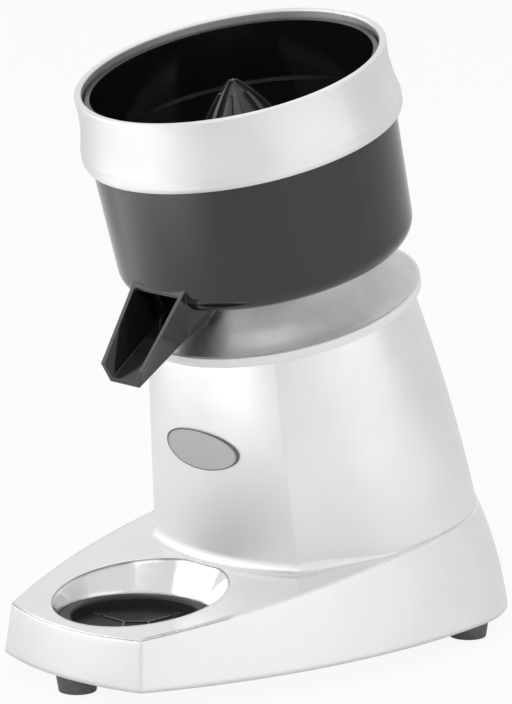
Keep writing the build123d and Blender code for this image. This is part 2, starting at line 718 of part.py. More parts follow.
with BuildPart() as motor_housing:
    add(housing_outer)
    add(housing_inner, mode=Mode.SUBTRACT)
    add(housing_lugs.part)
    with BuildSketch(level(spigot_end)):
        with PolarLocations(COLLAR_SCREW_CIRCLE, COLLAR_SCREWS):
            Circle(COLLAR_SCREW_RADIUS + BOLT_GAP)
    extrude(amount=-2 * COLLAR_LEDGE_THICKNESS, mode=Mode.SUBTRACT)
    with BuildSketch(deck):
        with Locations(lug_spots):
            Circle(HOUSING_BOLT_RADIUS + PRESS_GAP)
    extrude(amount=HOUSING_BOLT_GRIP + HOLE_SPARE, mode=Mode.SUBTRACT)
    with BuildSketch(switch_seat):
        Rectangle(*[size + 2 * SWITCH_SEAT_MARGIN for size in SWITCH_FRAME])
    extrude(amount=HOUSING_WALL, mode=Mode.SUBTRACT)
    with BuildSketch(switch_seat):
        Rectangle(*[size + 2 * SEAT_GAP for size in switch_body_size])
    extrude(amount=-2 * HOUSING_WALL, mode=Mode.SUBTRACT)
write(motor_housing, "motor_housing")

with BuildPart() as housing_bolts:
    with BuildSketch(deck.offset(-BASE_WALL)):
        with Locations(lug_spots):
            Circle(HOUSING_BOLT_RADIUS)
    extrude(amount=BASE_WALL + HOUSING_BOLT_GRIP)
    with BuildSketch(deck.offset(-BASE_WALL)):
        with Locations(lug_spots):
            RegularPolygon(HOUSING_BOLT_HEAD, 6)
    extrude(amount=-HOUSING_BOLT_HEAD_HEIGHT)
write(housing_bolts, "housing_bolts")

# Badge plate, bent to the front of the housing
badge_z = housing_height(HOUSING_CORNER_Y - HOUSING_BULGE, BADGE_SHARE)
badge_plane = wall_plane((0, SHOULDER_Y, badge_z), (0, -1, 0))
housing_grown = housing_loft(-BADGE_THICKNESS)
with BuildPart() as badge_plate:
    with BuildSketch(badge_plane):
        Ellipse(BADGE_WIDTH / 2, BADGE_HEIGHT / 2)
    extrude(amount=BADGE_HEIGHT / 2, both=True)
    add(housing_grown, mode=Mode.INTERSECT)
    add(housing_outer, mode=Mode.SUBTRACT)
write(badge_plate, "badge_plate")

# Switch: a frame on the wall, a body behind it and a rocker between them
with BuildPart() as switch_frame:
    with BuildSketch(switch_seat):
        Rectangle(*SWITCH_FRAME)
        Rectangle(*switch_mouth, mode=Mode.SUBTRACT)
    extrude(amount=SWITCH_FRAME_HEIGHT)
    front_edges = edges().group_by(Axis(switch_seat.origin, switch_seat.z_dir))[-1]
    fillet(front_edges, SWITCH_FRAME_ROUND)
write(switch_frame, "switch_frame")

rocker_length = switch_mouth[1] - 2 * ROCKER_GAP
rocker_width = switch_mouth[0] - 2 * ROCKER_GAP
rocker_tip = SWITCH_FRAME_HEIGHT + ROCKER_PIVOT_DEPTH + ROCKER_PROUD
rocker_reach = rocker_length / 2 / cos(radians(ROCKER_TILT)) - rocker_tip * sin(radians(ROCKER_TILT))
rocker_cup = ROCKER_PIVOT_DEPTH + ROCKER_UNDERSIDE + rocker_length * sin(radians(ROCKER_TILT))
rocker_pivot = switch_seat.offset(-ROCKER_PIVOT_DEPTH)
pivot_side = Plane(origin=rocker_pivot.origin, x_dir=rocker_pivot.y_dir, z_dir=rocker_pivot.x_dir)
rocker_lean = radians(ROCKER_TILT)
rocker_side = Plane(
    origin=pivot_side.origin,
    x_dir=pivot_side.x_dir * cos(rocker_lean) + pivot_side.y_dir * sin(rocker_lean),
    z_dir=pivot_side.z_dir,
)
with BuildPart() as switch_body:
    with BuildSketch(switch_seat):
        Rectangle(*switch_body_size)
    extrude(amount=-SWITCH_BODY_DEPTH)
    with BuildSketch(switch_seat):
        Rectangle(*switch_mouth)
    extrude(amount=-rocker_cup, mode=Mode.SUBTRACT)
    with BuildSketch(pivot_side):
        Circle(ROCKER_PIN_RADIUS + RUN_GAP)
    extrude(amount=switch_body_size[0], both=True, mode=Mode.SUBTRACT)
write(switch_body, "switch_body")

with BuildPart() as switch_rocker:
    with BuildSketch(rocker_side):
        Polygon(
            (-rocker_reach, -ROCKER_UNDERSIDE),
            (rocker_reach, -ROCKER_UNDERSIDE),
            (rocker_reach, rocker_tip),
            (0, rocker_tip - ROCKER_DISH),
            (-rocker_reach, rocker_tip),
            align=None,
        )
    extrude(amount=rocker_width / 2, both=True)
    with BuildSketch(rocker_side):
        Circle(ROCKER_PIN_RADIUS)
    extrude(amount=switch_body_size[0] / 2, both=True)
write(switch_rocker, "switch_rocker")

# Top cover of the motor, which carries the bowl, the upper bearing and the stator
spigot_outer = housing_bore - SEAT_GAP
spigot_inner = spigot_outer - COLLAR_SPIGOT_WALL
nose_radius = DAM_RADIUS - NOSE_GAP
nose_top = BOWL_DEPTH - NOSE_HEIGHT
seal_bottom = nose_top + SEAL_HEIGHT
upper_bearing_top = BOWL_DEPTH + BEARING_DROP
upper_bearing_bottom = upper_bearing_top + BEARING_HEIGHT
stator_top = upper_bearing_bottom + STATOR_GAP
shaft_hole = SHAFT_RADIUS + SHAFT_CLEARANCE
bearing_seat = BEARING_RADIUS + PRESS_GAP
roof_bottom = BOWL_DEPTH + COLLAR_WALL
with BuildPart() as top_cover:
    with BuildSketch(profile):
        with BuildLine():
            brim = (COLLAR_RADIUS - COLLAR_BRIM, COLLAR_BRIM_RISE - COLLAR_RIM_TOP)
            crown = (COLLAR_TOP_RADIUS, -BOWL_DEPTH)
            SagittaArc(brim, crown, COLLAR_SAG)
            Polyline(
                crown,
                (nose_radius, -BOWL_DEPTH),
                (nose_radius, -nose_top),
                (SEAL_RADIUS, -nose_top),
                (SEAL_RADIUS, -seal_bottom),
                (shaft_hole, -seal_bottom),
                (shaft_hole, -upper_bearing_top),
                (bearing_seat, -upper_bearing_top),
                (bearing_seat, -upper_bearing_bottom),
                (bearing_seat + BEARING_WALL, -upper_bearing_bottom),
                (bearing_seat + BEARING_WALL, -roof_bottom),
                (COLLAR_TOP_RADIUS - COLLAR_WALL, -roof_bottom),
                (spigot_inner, -collar_seat),
                (spigot_inner, -spigot_end),
                (spigot_outer, -spigot_end),
                (spigot_outer, -collar_seat),
                (COLLAR_RADIUS, -collar_seat),
                (COLLAR_RADIUS, -COLLAR_RIM_TOP),
                brim,
            )
        make_face()
    revolve(axis=spin_axis)
    with BuildSketch(level(stator_top)):
        with PolarLocations(THROUGH_BOLT_CIRCLE, THROUGH_BOLTS, THROUGH_BOLT_PHASE):
            Circle(POST_RADIUS)
    extrude(amount=stator_top - roof_bottom + COLLAR_WALL / 2)
    with BuildSketch(level(stator_top)):
        with PolarLocations(THROUGH_BOLT_CIRCLE, THROUGH_BOLTS, THROUGH_BOLT_PHASE):
            Circle(THROUGH_BOLT_RADIUS + PRESS_GAP)
    extrude(amount=THROUGH_BOLT_GRIP + HOLE_SPARE, mode=Mode.SUBTRACT)
    with BuildSketch(level(spigot_end)):
        with PolarLocations(COLLAR_SCREW_CIRCLE, COLLAR_SCREWS):
            Circle(COLLAR_SCREW_RADIUS + PRESS_GAP)
    extrude(amount=COLLAR_SCREW_GRIP + HOLE_SPARE, mode=Mode.SUBTRACT)
write(top_cover, "top_cover")

with BuildPart() as collar_screws:
    with BuildSketch(level(ledge_bottom)):
        with PolarLocations(COLLAR_SCREW_CIRCLE, COLLAR_SCREWS):
            Circle(COLLAR_SCREW_RADIUS)
    extrude(amount=COLLAR_LEDGE_THICKNESS + COLLAR_SCREW_GRIP)
    with BuildSketch(level(ledge_bottom)):
        with PolarLocations(COLLAR_SCREW_CIRCLE, COLLAR_SCREWS):
            Circle(COLLAR_SCREW_HEAD)
    extrude(amount=-COLLAR_SCREW_HEAD_HEIGHT)
write(collar_screws, "collar_screws")

with BuildPart() as shaft_seal:
    with BuildSketch(profile):
        add(band(SHAFT_RADIUS + RUN_GAP, SEAL_RADIUS - PRESS_GAP, nose_top, seal_bottom))
    revolve(axis=spin_axis)
write(shaft_seal, "shaft_seal")

# Stator and the rest of the motor's fixed pieces
stator_bottom = stator_top + STATOR_LENGTH
shield_bottom = stator_bottom + SHIELD_DEPTH
lower_bearing_bottom = shield_bottom - SHIELD_FLOOR
lower_bearing_top = lower_bearing_bottom - BEARING_HEIGHT
with BuildPart() as stator_core:
    with BuildSketch(level(stator_bottom)):
        Circle(STATOR_RADIUS)
        Circle(ROTOR_RADIUS + AIR_GAP, mode=Mode.SUBTRACT)
        with PolarLocations(THROUGH_BOLT_CIRCLE, THROUGH_BOLTS, THROUGH_BOLT_PHASE):
            Circle(THROUGH_BOLT_RADIUS + BOLT_GAP, mode=Mode.SUBTRACT)
    extrude(amount=STATOR_LENGTH)
write(stator_core, "stator_core")

with BuildPart() as stator_windings:
    with BuildSketch(profile):
        add(band(WINDING_INNER, WINDING_OUTER, stator_top - WINDING_HEIGHT, stator_top))
        add(band(WINDING_INNER, WINDING_OUTER, stator_bottom, stator_bottom + WINDING_HEIGHT))
    revolve(axis=spin_axis)
    ends = edges().filter_by(GeomType.CIRCLE).group_by(spin_axis)
    fillet(ends[0] + ends[-1], WINDING_ROUND)
write(stator_windings, "stator_windings")

with BuildPart() as lower_end_shield:
    with BuildSketch(profile):
        add(band(STATOR_RADIUS - SHIELD_WALL, STATOR_RADIUS, stator_bottom, shield_bottom))
        add(band(shaft_hole, STATOR_RADIUS, lower_bearing_bottom, shield_bottom))
        add(band(bearing_seat, bearing_seat + BEARING_WALL, lower_bearing_top, shield_bottom))
    revolve(axis=spin_axis)
    with BuildSketch(level(shield_bottom)):
        with PolarLocations(VENT_CIRCLE, VENT_COUNT):
            Circle(VENT_RADIUS)
        with PolarLocations(THROUGH_BOLT_CIRCLE, THROUGH_BOLTS, THROUGH_BOLT_PHASE):
            Circle(THROUGH_BOLT_RADIUS + BOLT_GAP)
    extrude(amount=SHIELD_DEPTH, mode=Mode.SUBTRACT)
write(lower_end_shield, "lower_end_shield")

with BuildPart() as motor_through_bolts:
    with BuildSketch(level(shield_bottom)):
        with PolarLocations(THROUGH_BOLT_CIRCLE, THROUGH_BOLTS, THROUGH_BOLT_PHASE):
            Circle(THROUGH_BOLT_RADIUS)
    extrude(amount=shield_bottom - stator_top + THROUGH_BOLT_GRIP)
    with BuildSketch(level(shield_bottom)):
        with PolarLocations(THROUGH_BOLT_CIRCLE, THROUGH_BOLTS, THROUGH_BOLT_PHASE):
            RegularPolygon(THROUGH_BOLT_HEAD, 6)
    extrude(amount=-THROUGH_BOLT_HEAD_HEIGHT)
write(motor_through_bolts, "motor_through_bolts")

race_outer = SHAFT_RADIUS + BEARING_RACE
for bearing_top, bearing_name in ((upper_bearing_top, "upper"), (lower_bearing_top, "lower")):
    bearing_bottom = bearing_top + BEARING_HEIGHT
    with BuildPart() as bearing:
        with BuildSketch(profile):
            add(band(race_outer + RUN_GAP, BEARING_RADIUS, bearing_top, bearing_bottom))
        revolve(axis=spin_axis)
    write(bearing, f"{bearing_name}_bearing")
    with BuildPart() as race:
        with BuildSketch(profile):
            add(band(SHAFT_RADIUS + PRESS_GAP, race_outer, bearing_top, bearing_bottom))
        revolve(axis=spin_axis)
    write(race, f"{bearing_name}_bearing_race")

# Shaft, drive pin, rotor and fan turn together
rotor_top = stator_top - END_RING_HEIGHT
rotor_bottom = stator_bottom + END_RING_HEIGHT
fan_top = shield_bottom + FAN_GAP
fan_bottom = fan_top + FAN_HEIGHT
pin_plane = Plane(origin=level(PIN_DEPTH).origin, x_dir=(0, 1, 0), z_dir=(1, 0, 0))
with BuildPart() as motor_shaft:
    with BuildSketch(profile):
        add(band(0, SHAFT_RADIUS, SHAFT_TOP_DEPTH, fan_bottom + SHAFT_TAIL))
        add(band(0, ROTOR_SEAT_RADIUS, rotor_top, rotor_bottom))
    revolve(axis=spin_axis)
    shaft_ends = edges().filter_by(GeomType.CIRCLE).group_by(spin_axis)
    chamfer(shaft_ends[0] + shaft_ends[-1], SHAFT_CHAMFER)
    with BuildSketch(pin_plane):
        Circle(PIN_RADIUS + PRESS_GAP)
    extrude(amount=PIN_LENGTH, both=True, mode=Mode.SUBTRACT)
write(motor_shaft, "motor_shaft")

with BuildPart() as drive_pin:
    with BuildSketch(pin_plane):
        Circle(PIN_RADIUS)
    extrude(amount=PIN_LENGTH / 2, both=True)
write(drive_pin, "drive_pin")

with BuildPart() as rotor:
    with BuildSketch(profile):
        add(band(ROTOR_SEAT_RADIUS + PRESS_GAP, ROTOR_RADIUS, stator_top, stator_bottom))
        add(band(ROTOR_RADIUS - END_RING_WIDTH, ROTOR_RADIUS, rotor_top, rotor_bottom))
    revolve(axis=spin_axis)
write(rotor, "rotor")

with BuildPart() as cooling_fan:
    with BuildSketch(profile):
        add(band(SHAFT_RADIUS + PRESS_GAP, FAN_HUB_RADIUS, fan_top, fan_bottom))
        add(band(SHAFT_RADIUS + PRESS_GAP, FAN_RADIUS, fan_top, fan_top + FAN_PLATE))
    revolve(axis=spin_axis)
    with BuildSketch(level(fan_bottom)):
        with PolarLocations((FAN_BLADE_ROOT + FAN_BLADE_TIP) / 2, FAN_BLADES):
            Rectangle(FAN_BLADE_TIP - FAN_BLADE_ROOT, FAN_PLATE)
    extrude(amount=FAN_HEIGHT - FAN_PLATE / 2)
write(cooling_fan, "cooling_fan")

# Squeezing cone: an ogive with long ribs from the tip and short ribs between them
cone_foot = CONE_BASE_DEPTH + CONE_SKIRT
hub_bottom = PIN_DEPTH + PIN_COVER
cavity_radius = CONE_RADIUS - RIB_HEIGHT - CONE_SHELL


def ogive(inset, drop):
    """Half section of the cone down to its base, inset from the rib tops, flat at the tip."""
    with BuildSketch() as section:
        with BuildLine():
            tip = (CONE_TIP_RADIUS - inset / 2, -CONE_TIP_DEPTH - drop)
            base = (CONE_RADIUS - inset, -CONE_BASE_DEPTH)
            ThreePointArc(tip, (CONE_MID_RADIUS - inset, -CONE_MID_DEPTH - drop / 2), base)
            Polyline(base, (0, -CONE_BASE_DEPTH), (0, tip[1]), tip)
        make_face()
    return section.sketch


with BuildPart() as squeezing_cone:
    with BuildSketch(profile):
        add(ogive(RIB_HEIGHT, RIB_HEIGHT / 2))
        add(band(0, CONE_TIP_RADIUS - RIB_HEIGHT / 2, CONE_TIP_DEPTH, CONE_TIP_DEPTH + RIB_HEIGHT))
        add(band(0, CONE_RADIUS, CONE_BASE_DEPTH, cone_foot))
    revolve(axis=spin_axis)
    for rib in range(RIB_COUNT):
        with BuildSketch(section_plane(RIB_PHASE + 360 / RIB_COUNT * rib - RIB_ANGLE / 2)):
            add(ogive(0, 0))
            if rib % 2:
                short_top = CONE_TIP_DEPTH + SHORT_RIB_DROP
                add(band(0, CONE_RADIUS, CONE_TIP_DEPTH - RIB_HEIGHT, short_top), mode=Mode.SUBTRACT)
        revolve(axis=spin_axis, revolution_arc=RIB_ANGLE)
    with BuildSketch(profile):
        add(band(0, cavity_radius, cone_foot - CONE_SKIRT - CONE_CAVITY, cone_foot))
    revolve(axis=spin_axis, mode=Mode.SUBTRACT)
    with BuildSketch(profile):
        add(band(0, CONE_HUB_RADIUS, cone_foot - CONE_SKIRT - CONE_CAVITY - CONE_SHELL, hub_bottom))
    revolve(axis=spin_axis)
    with BuildSketch(profile):
        add(band(0, SHAFT_RADIUS + RUN_GAP, SHAFT_TOP_DEPTH - SEAT_GAP, hub_bottom))
    revolve(axis=spin_axis, mode=Mode.SUBTRACT)
    with BuildSketch(level(hub_bottom)):
        Rectangle(2 * CONE_RADIUS, 2 * (PIN_RADIUS + BOLT_GAP))
    extrude(amount=PIN_COVER + PIN_RADIUS + PRESS_GAP, mode=Mode.SUBTRACT)
write(squeezing_cone, "squeezing_cone")

# Juice bowl with its sump and spout
floor_top = BOWL_DEPTH - BOWL_FLOOR


def bowl_profile(wall):
    """Half section of the bowl's outside, or of its inside for a wall thickness."""
    bottom = floor_top if wall else BOWL_DEPTH
    with BuildSketch() as section:
        with BuildLine():
            neck = (BOWL_NECK_RADIUS - wall, -RING_HEIGHT)
            shoulder = (BOWL_RADIUS - wall, -RING_HEIGHT - wall)
            foot = (BOWL_FOOT_RADIUS - wall, -BOWL_FOOT_DEPTH)
            flat = (BOWL_FLAT_RADIUS - wall, -bottom)
            rim = (BOWL_TOP_RADIUS - wall, -BOWL_TOP_DEPTH)
            Polyline((0, -BOWL_TOP_DEPTH), rim, neck, shoulder, foot)
            TangentArc(foot, flat, tangent=Vector(*foot) - Vector(*shoulder))
            Polyline(flat, (0, -bottom), (0, -BOWL_TOP_DEPTH))
        make_face()
    return section.sketch


def channel(section, wall, raise_to=None):
    """Face of one sump or spout section, inset by a wall at its bottom and sides."""
    forward, top, bottom, half_top, half_bottom = section
    if raise_to is not None:
        half_top = half_top + (half_top - half_bottom) * (top - raise_to) / (bottom - top)
        top = raise_to
    with BuildSketch(profile.offset(forward)) as face:
        Polygon(
            (-half_top + wall, -top),
            (-half_bottom + wall, -bottom + wall),
            (half_bottom - wall, -bottom + wall),
            (half_top - wall, -top),
            align=None,
        )
    return face.sketch


def between(first, second, forward):
    """Section at a distance forward, on the straight run from one section to the next."""
    share = (forward - first[0]) / (second[0] - first[0])
    return tuple(a + (b - a) * share for a, b in zip(first, second))


ledge_outer = BOWL_FOOT_RADIUS - BOWL_WALL / 2
back_plate = between(SPOUT_ROOT, SPOUT_LIP, SPOUT_BACK_PLATE)
past_lip = between(SPOUT_ROOT, SPOUT_LIP, SPOUT_LIP[0] + SPOUT_WALL)
with BuildPart() as spout_outside:
    loft([channel(s, 0) for s in (SUMP_BACK, SUMP_MID, SPOUT_ROOT, SPOUT_LIP)], ruled=True)

with BuildPart() as sump_inside:
    loft(
        [
            channel(SUMP_BACK, SPOUT_WALL, WALL_OPENING_DEPTH),
            channel(SUMP_MID, SPOUT_WALL, WALL_OPENING_DEPTH),
            channel(SPOUT_ROOT, SPOUT_WALL, WALL_OPENING_DEPTH),
            channel(back_plate, SPOUT_WALL, WALL_OPENING_DEPTH),
        ],
        ruled=True,
    )

with BuildPart() as channel_inside:
    loft([channel(s, SPOUT_WALL, s[1] - SPOUT_WALL) for s in (back_plate, past_lip)], ruled=True)

with BuildPart() as juice_bowl:
    with BuildSketch(profile):
        add(bowl_profile(0))
    revolve(axis=spin_axis)
    add(spout_outside.part)
    with BuildSketch(profile):
        add(bowl_profile(BOWL_WALL))
    revolve(axis=spin_axis, mode=Mode.SUBTRACT)
    with BuildSketch(profile):
        add(band(LEDGE_RADIUS, ledge_outer, LEDGE_DEPTH, LEDGE_DEPTH + LEDGE_THICKNESS))
        add(band(DAM_RADIUS, DAM_RADIUS + DAM_WALL, DAM_TOP_DEPTH, BOWL_DEPTH))
    revolve(axis=spin_axis)
    add(sump_inside.part, mode=Mode.SUBTRACT)
    add(channel_inside.part, mode=Mode.SUBTRACT)
    with BuildSketch(profile):
        add(band(0, DAM_RADIUS, DAM_TOP_DEPTH, BOWL_DEPTH))
    revolve(axis=spin_axis, mode=Mode.SUBTRACT)
write(juice_bowl, "juice_bowl")

# Strainer, standing on the bowl's ledge round the cone
strainer_inner = CONE_RADIUS + CONE_STRAINER_GAP
strainer_outer = BOWL_TOP_RADIUS - BOWL_WALL - STRAINER_GAP
rim_inner = strainer_outer - STRAINER_THICKNESS
collar_outer = strainer_inner + STRAINER_THICKNESS
plate_top = LEDGE_DEPTH - STRAINER_THICKNESS
with BuildPart() as strainer:
    with BuildSketch(profile):
        add(band(strainer_inner, strainer_outer, plate_top, LEDGE_DEPTH))
        add(band(rim_inner, strainer_outer, LEDGE_DEPTH - STRAINER_RIM_HEIGHT, LEDGE_DEPTH))
        add(band(strainer_inner, collar_outer, LEDGE_DEPTH - STRAINER_COLLAR_HEIGHT, LEDGE_DEPTH))
    revolve(axis=spin_axis)
    with BuildSketch(level(LEDGE_DEPTH)):
        for row in range(STRAINER_ROWS):
            count = STRAINER_ROW_HOLES + STRAINER_ROW_EXTRA * row
            with PolarLocations(STRAINER_FIRST_ROW + STRAINER_ROW_STEP * row, count):
                Circle(STRAINER_HOLE_RADIUS)
    extrude(amount=STRAINER_RIM_HEIGHT, mode=Mode.SUBTRACT)
write(strainer, "strainer")

# Splash ring, standing on the bowl's shoulder
flange_inner = BOWL_NECK_RADIUS + 2 * SEAT_GAP
with BuildPart() as splash_ring:
    with BuildSketch(profile):
        with BuildLine():
            lip_in = (RING_LIP_INNER, -RING_LIP_ROUND)
            lip_out = (RING_LIP_OUTER, -RING_LIP_ROUND)
            bead_top = (RING_BEAD_RADIUS, -RING_BEAD_DEPTH)
            bead_bottom = (RING_BEAD_RADIUS, -RING_HEIGHT + RING_WALL)
            waist = (RING_WAIST_RADIUS, -RING_WAIST_DEPTH)
            inside_top = (RING_BEAD_RADIUS - RING_WALL, -RING_BEAD_DEPTH)
            RadiusArc(lip_in, (RING_LIP_INNER + RING_LIP_ROUND, 0), RING_LIP_ROUND)
            Line((RING_LIP_INNER + RING_LIP_ROUND, 0), (RING_LIP_OUTER - RING_LIP_ROUND, 0))
            RadiusArc((RING_LIP_OUTER - RING_LIP_ROUND, 0), lip_out, RING_LIP_ROUND)
            ThreePointArc(lip_out, waist, bead_top)
            Line(bead_top, bead_bottom)
            Polyline(
                bead_bottom,
                (RING_BOTTOM_RADIUS, -RING_HEIGHT),
                (flange_inner, -RING_HEIGHT),
                (flange_inner, -RING_HEIGHT + RING_WALL),
                (RING_BEAD_RADIUS - RING_WALL, -RING_HEIGHT + RING_WALL),
                inside_top,
            )
            ThreePointArc(inside_top, (RING_WAIST_RADIUS - RING_WALL, -RING_WAIST_DEPTH), lip_in)
        make_face()
    revolve(axis=spin_axis)
write(splash_ring, "splash_ring")

# Electrical pieces in the base
capacitor_centre = (*CAPACITOR_SPOT, cover_top + CAPACITOR_RADIUS)
capacitor_axis = Plane(capacitor_centre, x_dir=(0, 1, 0), z_dir=(1, 0, 0))
with BuildPart() as capacitor:
    with BuildSketch(capacitor_axis):
        Circle(CAPACITOR_RADIUS - SEAT_GAP / 2)
    extrude(amount=CAPACITOR_LENGTH / 2, both=True)
    fillet(edges().filter_by(GeomType.CIRCLE), CAPACITOR_ROUND)
write(capacitor, "capacitor")

clip_radius = CAPACITOR_RADIUS + CLIP_WALL
with BuildPart() as capacitor_clip:
    with BuildSketch(capacitor_axis):
        Circle(clip_radius)
        with Locations((0, -CAPACITOR_RADIUS / 2)):
            Rectangle(2 * clip_radius, CAPACITOR_RADIUS)
        with Locations((0, CLIP_WALL / 2 - CAPACITOR_RADIUS)):
            Rectangle(2 * (clip_radius + CLIP_FOOT), CLIP_WALL)
        Circle(CAPACITOR_RADIUS, mode=Mode.SUBTRACT)
        with Locations((0, -CAPACITOR_RADIUS)):
            Rectangle(2 * CAPACITOR_RADIUS, 2 * CAPACITOR_RADIUS, mode=Mode.SUBTRACT)
    extrude(amount=CLIP_WIDTH / 2, both=True)
write(capacitor_clip, "capacitor_clip")

terminal_length, terminal_depth, terminal_height = TERMINAL_SIZE
with BuildPart() as terminal_block:
    with BuildSketch(Plane.XY.offset(cover_top)):
        with Locations(TERMINAL_SPOT):
            Rectangle(terminal_length, terminal_depth)
    extrude(amount=terminal_height)
    with BuildSketch(Plane.XY.offset(cover_top + terminal_height)):
        with Locations(TERMINAL_SPOT):
            with GridLocations(terminal_length / TERMINAL_POLES, terminal_depth / 2, TERMINAL_POLES, 2):
                Circle(TERMINAL_SCREW_RADIUS)
    extrude(amount=-terminal_height / 2, mode=Mode.SUBTRACT)
write(terminal_block, "terminal_block")

with BuildPart() as cord_gland:
    with BuildSketch(gland_plane):
        Circle(GLAND_FLANGE)
    extrude(amount=GLAND_FLANGE_HEIGHT)
    with BuildSketch(gland_plane):
        Circle(GLAND_BODY)
    extrude(amount=-BASE_WALL - GLAND_NUT_HEIGHT)
    with BuildSketch(gland_plane.offset(-BASE_WALL)):
        RegularPolygon(GLAND_NUT, 6)
    extrude(amount=-GLAND_NUT_HEIGHT)
    with BuildSketch(gland_plane.offset(GLAND_FLANGE_HEIGHT)):
        Circle(GLAND_BORE)
    extrude(amount=-GLAND_FLANGE_HEIGHT - BASE_WALL - GLAND_NUT_HEIGHT, mode=Mode.SUBTRACT)
write(cord_gland, "cord_gland")
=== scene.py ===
import json
import math
from functools import partial

import bmesh
import bpy
from mathutils import Matrix, Vector
from mathutils.bvhtree import BVHTree


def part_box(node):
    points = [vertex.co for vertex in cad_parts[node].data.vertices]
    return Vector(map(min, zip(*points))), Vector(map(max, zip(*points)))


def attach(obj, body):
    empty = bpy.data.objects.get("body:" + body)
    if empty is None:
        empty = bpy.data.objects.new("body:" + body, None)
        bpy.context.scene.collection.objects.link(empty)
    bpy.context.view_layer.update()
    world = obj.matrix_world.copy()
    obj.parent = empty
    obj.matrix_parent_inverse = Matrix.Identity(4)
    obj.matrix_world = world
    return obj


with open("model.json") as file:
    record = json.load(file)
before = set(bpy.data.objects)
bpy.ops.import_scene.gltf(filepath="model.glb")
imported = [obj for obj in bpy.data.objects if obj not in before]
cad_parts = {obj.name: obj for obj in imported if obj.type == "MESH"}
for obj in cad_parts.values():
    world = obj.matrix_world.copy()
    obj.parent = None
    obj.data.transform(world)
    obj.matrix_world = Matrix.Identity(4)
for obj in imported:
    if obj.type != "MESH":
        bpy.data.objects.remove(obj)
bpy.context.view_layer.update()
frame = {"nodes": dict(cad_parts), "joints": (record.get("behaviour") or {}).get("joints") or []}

bl_info = {
    "name": "Citrus juicer looks",
    "version": (1, 0, 0),
    "blender": (4, 5, 0),
    "location": "View3D > Sidebar > Juicer",
    "description": "Finishes and studio for an electric citrus juicer with a tilted bowl",
    "category": "Object",
}

# The bowl's axis in the shared frame, in metres, as the shaft's joint gives it
spin = next(joint for joint in frame["joints"] if joint["name"] == "shaft_spin")
AXIS_UP = tuple(spin["axis"])
LIP_CENTRE = tuple(spin["pos_m"])
# Middles of the drip tray and the badge plate
tray_low, tray_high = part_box("drip_tray")
WELL_CENTRE = tuple((tray_low + tray_high) / 2)
badge_low, badge_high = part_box("badge_plate")
BADGE_CENTRE = tuple((badge_low + badge_high) / 2)
BADGE_HALF = tuple((badge_high - badge_low) / 2)

MM = 0.001
UP = (0.0, 0.0, 1.0)
DOWN = (0.0, 0.0, -1.0)
WHITE = (1.0, 1.0, 1.0, 1.0)

# The base's sloping deck
DECK_POINT = (0.0, -0.0897, 0.0456)
DECK_UP = (0.0, -0.14436, 0.98953)

# Places on the pieces, where one finish turns into another
DULL_FOOT = (0.07, 0.15)            # heights between which the housing's polish gets brighter
FACES_UP = (0.26, 0.4)              # upward share of the normal from which the base is bright
FLAT_DECK = (0.6, 0.75)             # and from which it is the deck, not the well's slope
WELL_RIM = (0.07, 0.072)            # distance from the well's centre
# Depth under the deck of the dark line painted round the well's rim: a painted reflection of the
# dark bowl and spout in its rounded edge
RIM_PAINTED_REFLECTION = (-0.0013, -0.0005)      # depth under the deck
COLLAR_RIM = (0.0784, 0.0789)       # distance from the bowl's axis to the cast rim
BOWL_WALL = (0.0796, 0.0806)        # distance from the bowl's axis to its outside
BOWL_FLOOR = -0.1105                # along the bowl's axis, from the lip
BADGE_BORDER = (0.93, 0.95)         # shares of the plate's half size
TRAY_RIB_LEVEL = -0.0019            # of the ribs' upper part, from the tray's middle
TRAY_RIBS = (0.034, 0.035)          # distance from the tray's centre where they end

# The cove at the pedestal's foot
COVE_STEPS = 180        # sections along the foot
COVE_ARC = 18           # points across the cove
COVE_SINK = 0.00008     # how far its edges lie in the castings
COVE_ROOM = 0.22        # share of the deck's width that it may take
COVE_LEAST = 0.0004     # radius under which it ends
FOOT_LEVEL = 0.0003     # just over the deck, where the wall is met
EDGE_LEVEL = -0.003     # just under the deck, where the base's side is met
OUTSIDE = 0.4           # distance from which the castings are looked for

# Softboxes that face the juicer: turn from the camera's side and height in degrees, distance, width
# and height in metres, radiance
SOFTBOXES = (
    ("key_left", -92.0, 25.0, 2.2, 2.4, 1.6, 0.85),
    ("fill_right", 52.0, 8.0, 1.8, 2.2, 0.8, 0.55),
    ("top", 160.0, 78.0, 2.2, 1.4, 1.4, 0.6),
    ("front_top", -20.0, 50.0, 2.1, 1.1, 0.8, 0.9),
)
SOFTBOX_SPREAD = 180.0
SOFTBOX_AIM = (0.0, 0.0, 0.17)
# Lamps that light the floor beside the juicer: turn in degrees, reach, height and size in metres,
# radiance, spread in degrees
FLOOR_WASHES = (
    ("wash_far_left", -112.0, 0.6, 0.6, 0.2, 1.9, 40.0),
    ("wash_left", -91.0, 0.6, 0.6, 0.2, 2.7, 40.0),
    ("wash_near_left", -70.0, 0.6, 0.6, 0.2, 4.7, 40.0),
    ("wash_front_left", -50.0, 0.6, 0.6, 0.2, 7.4, 40.0),
    ("wash_right", 42.0, 0.9, 1.1, 0.8, 0.35, 60.0),
)
# Shares of plain white in the floor: where it is seen or mirrored, and what the camera adds
FLOOR_SEEN = 0.46
FLOOR_CAMERA = 0.45
# Surroundings that the metal mirrors: a direction and the walls' levels along it, and the backdrop
WALL_WAY = (-0.62, -0.74, 0.25)
WALL_LEVELS = ((0.0, 0.76), (0.5, 0.78), (1.0, 0.8))
BACKDROP_WAY = (-0.68, 0.65, 0.34)
BACKDROP_EDGE = (0.45, 0.85)


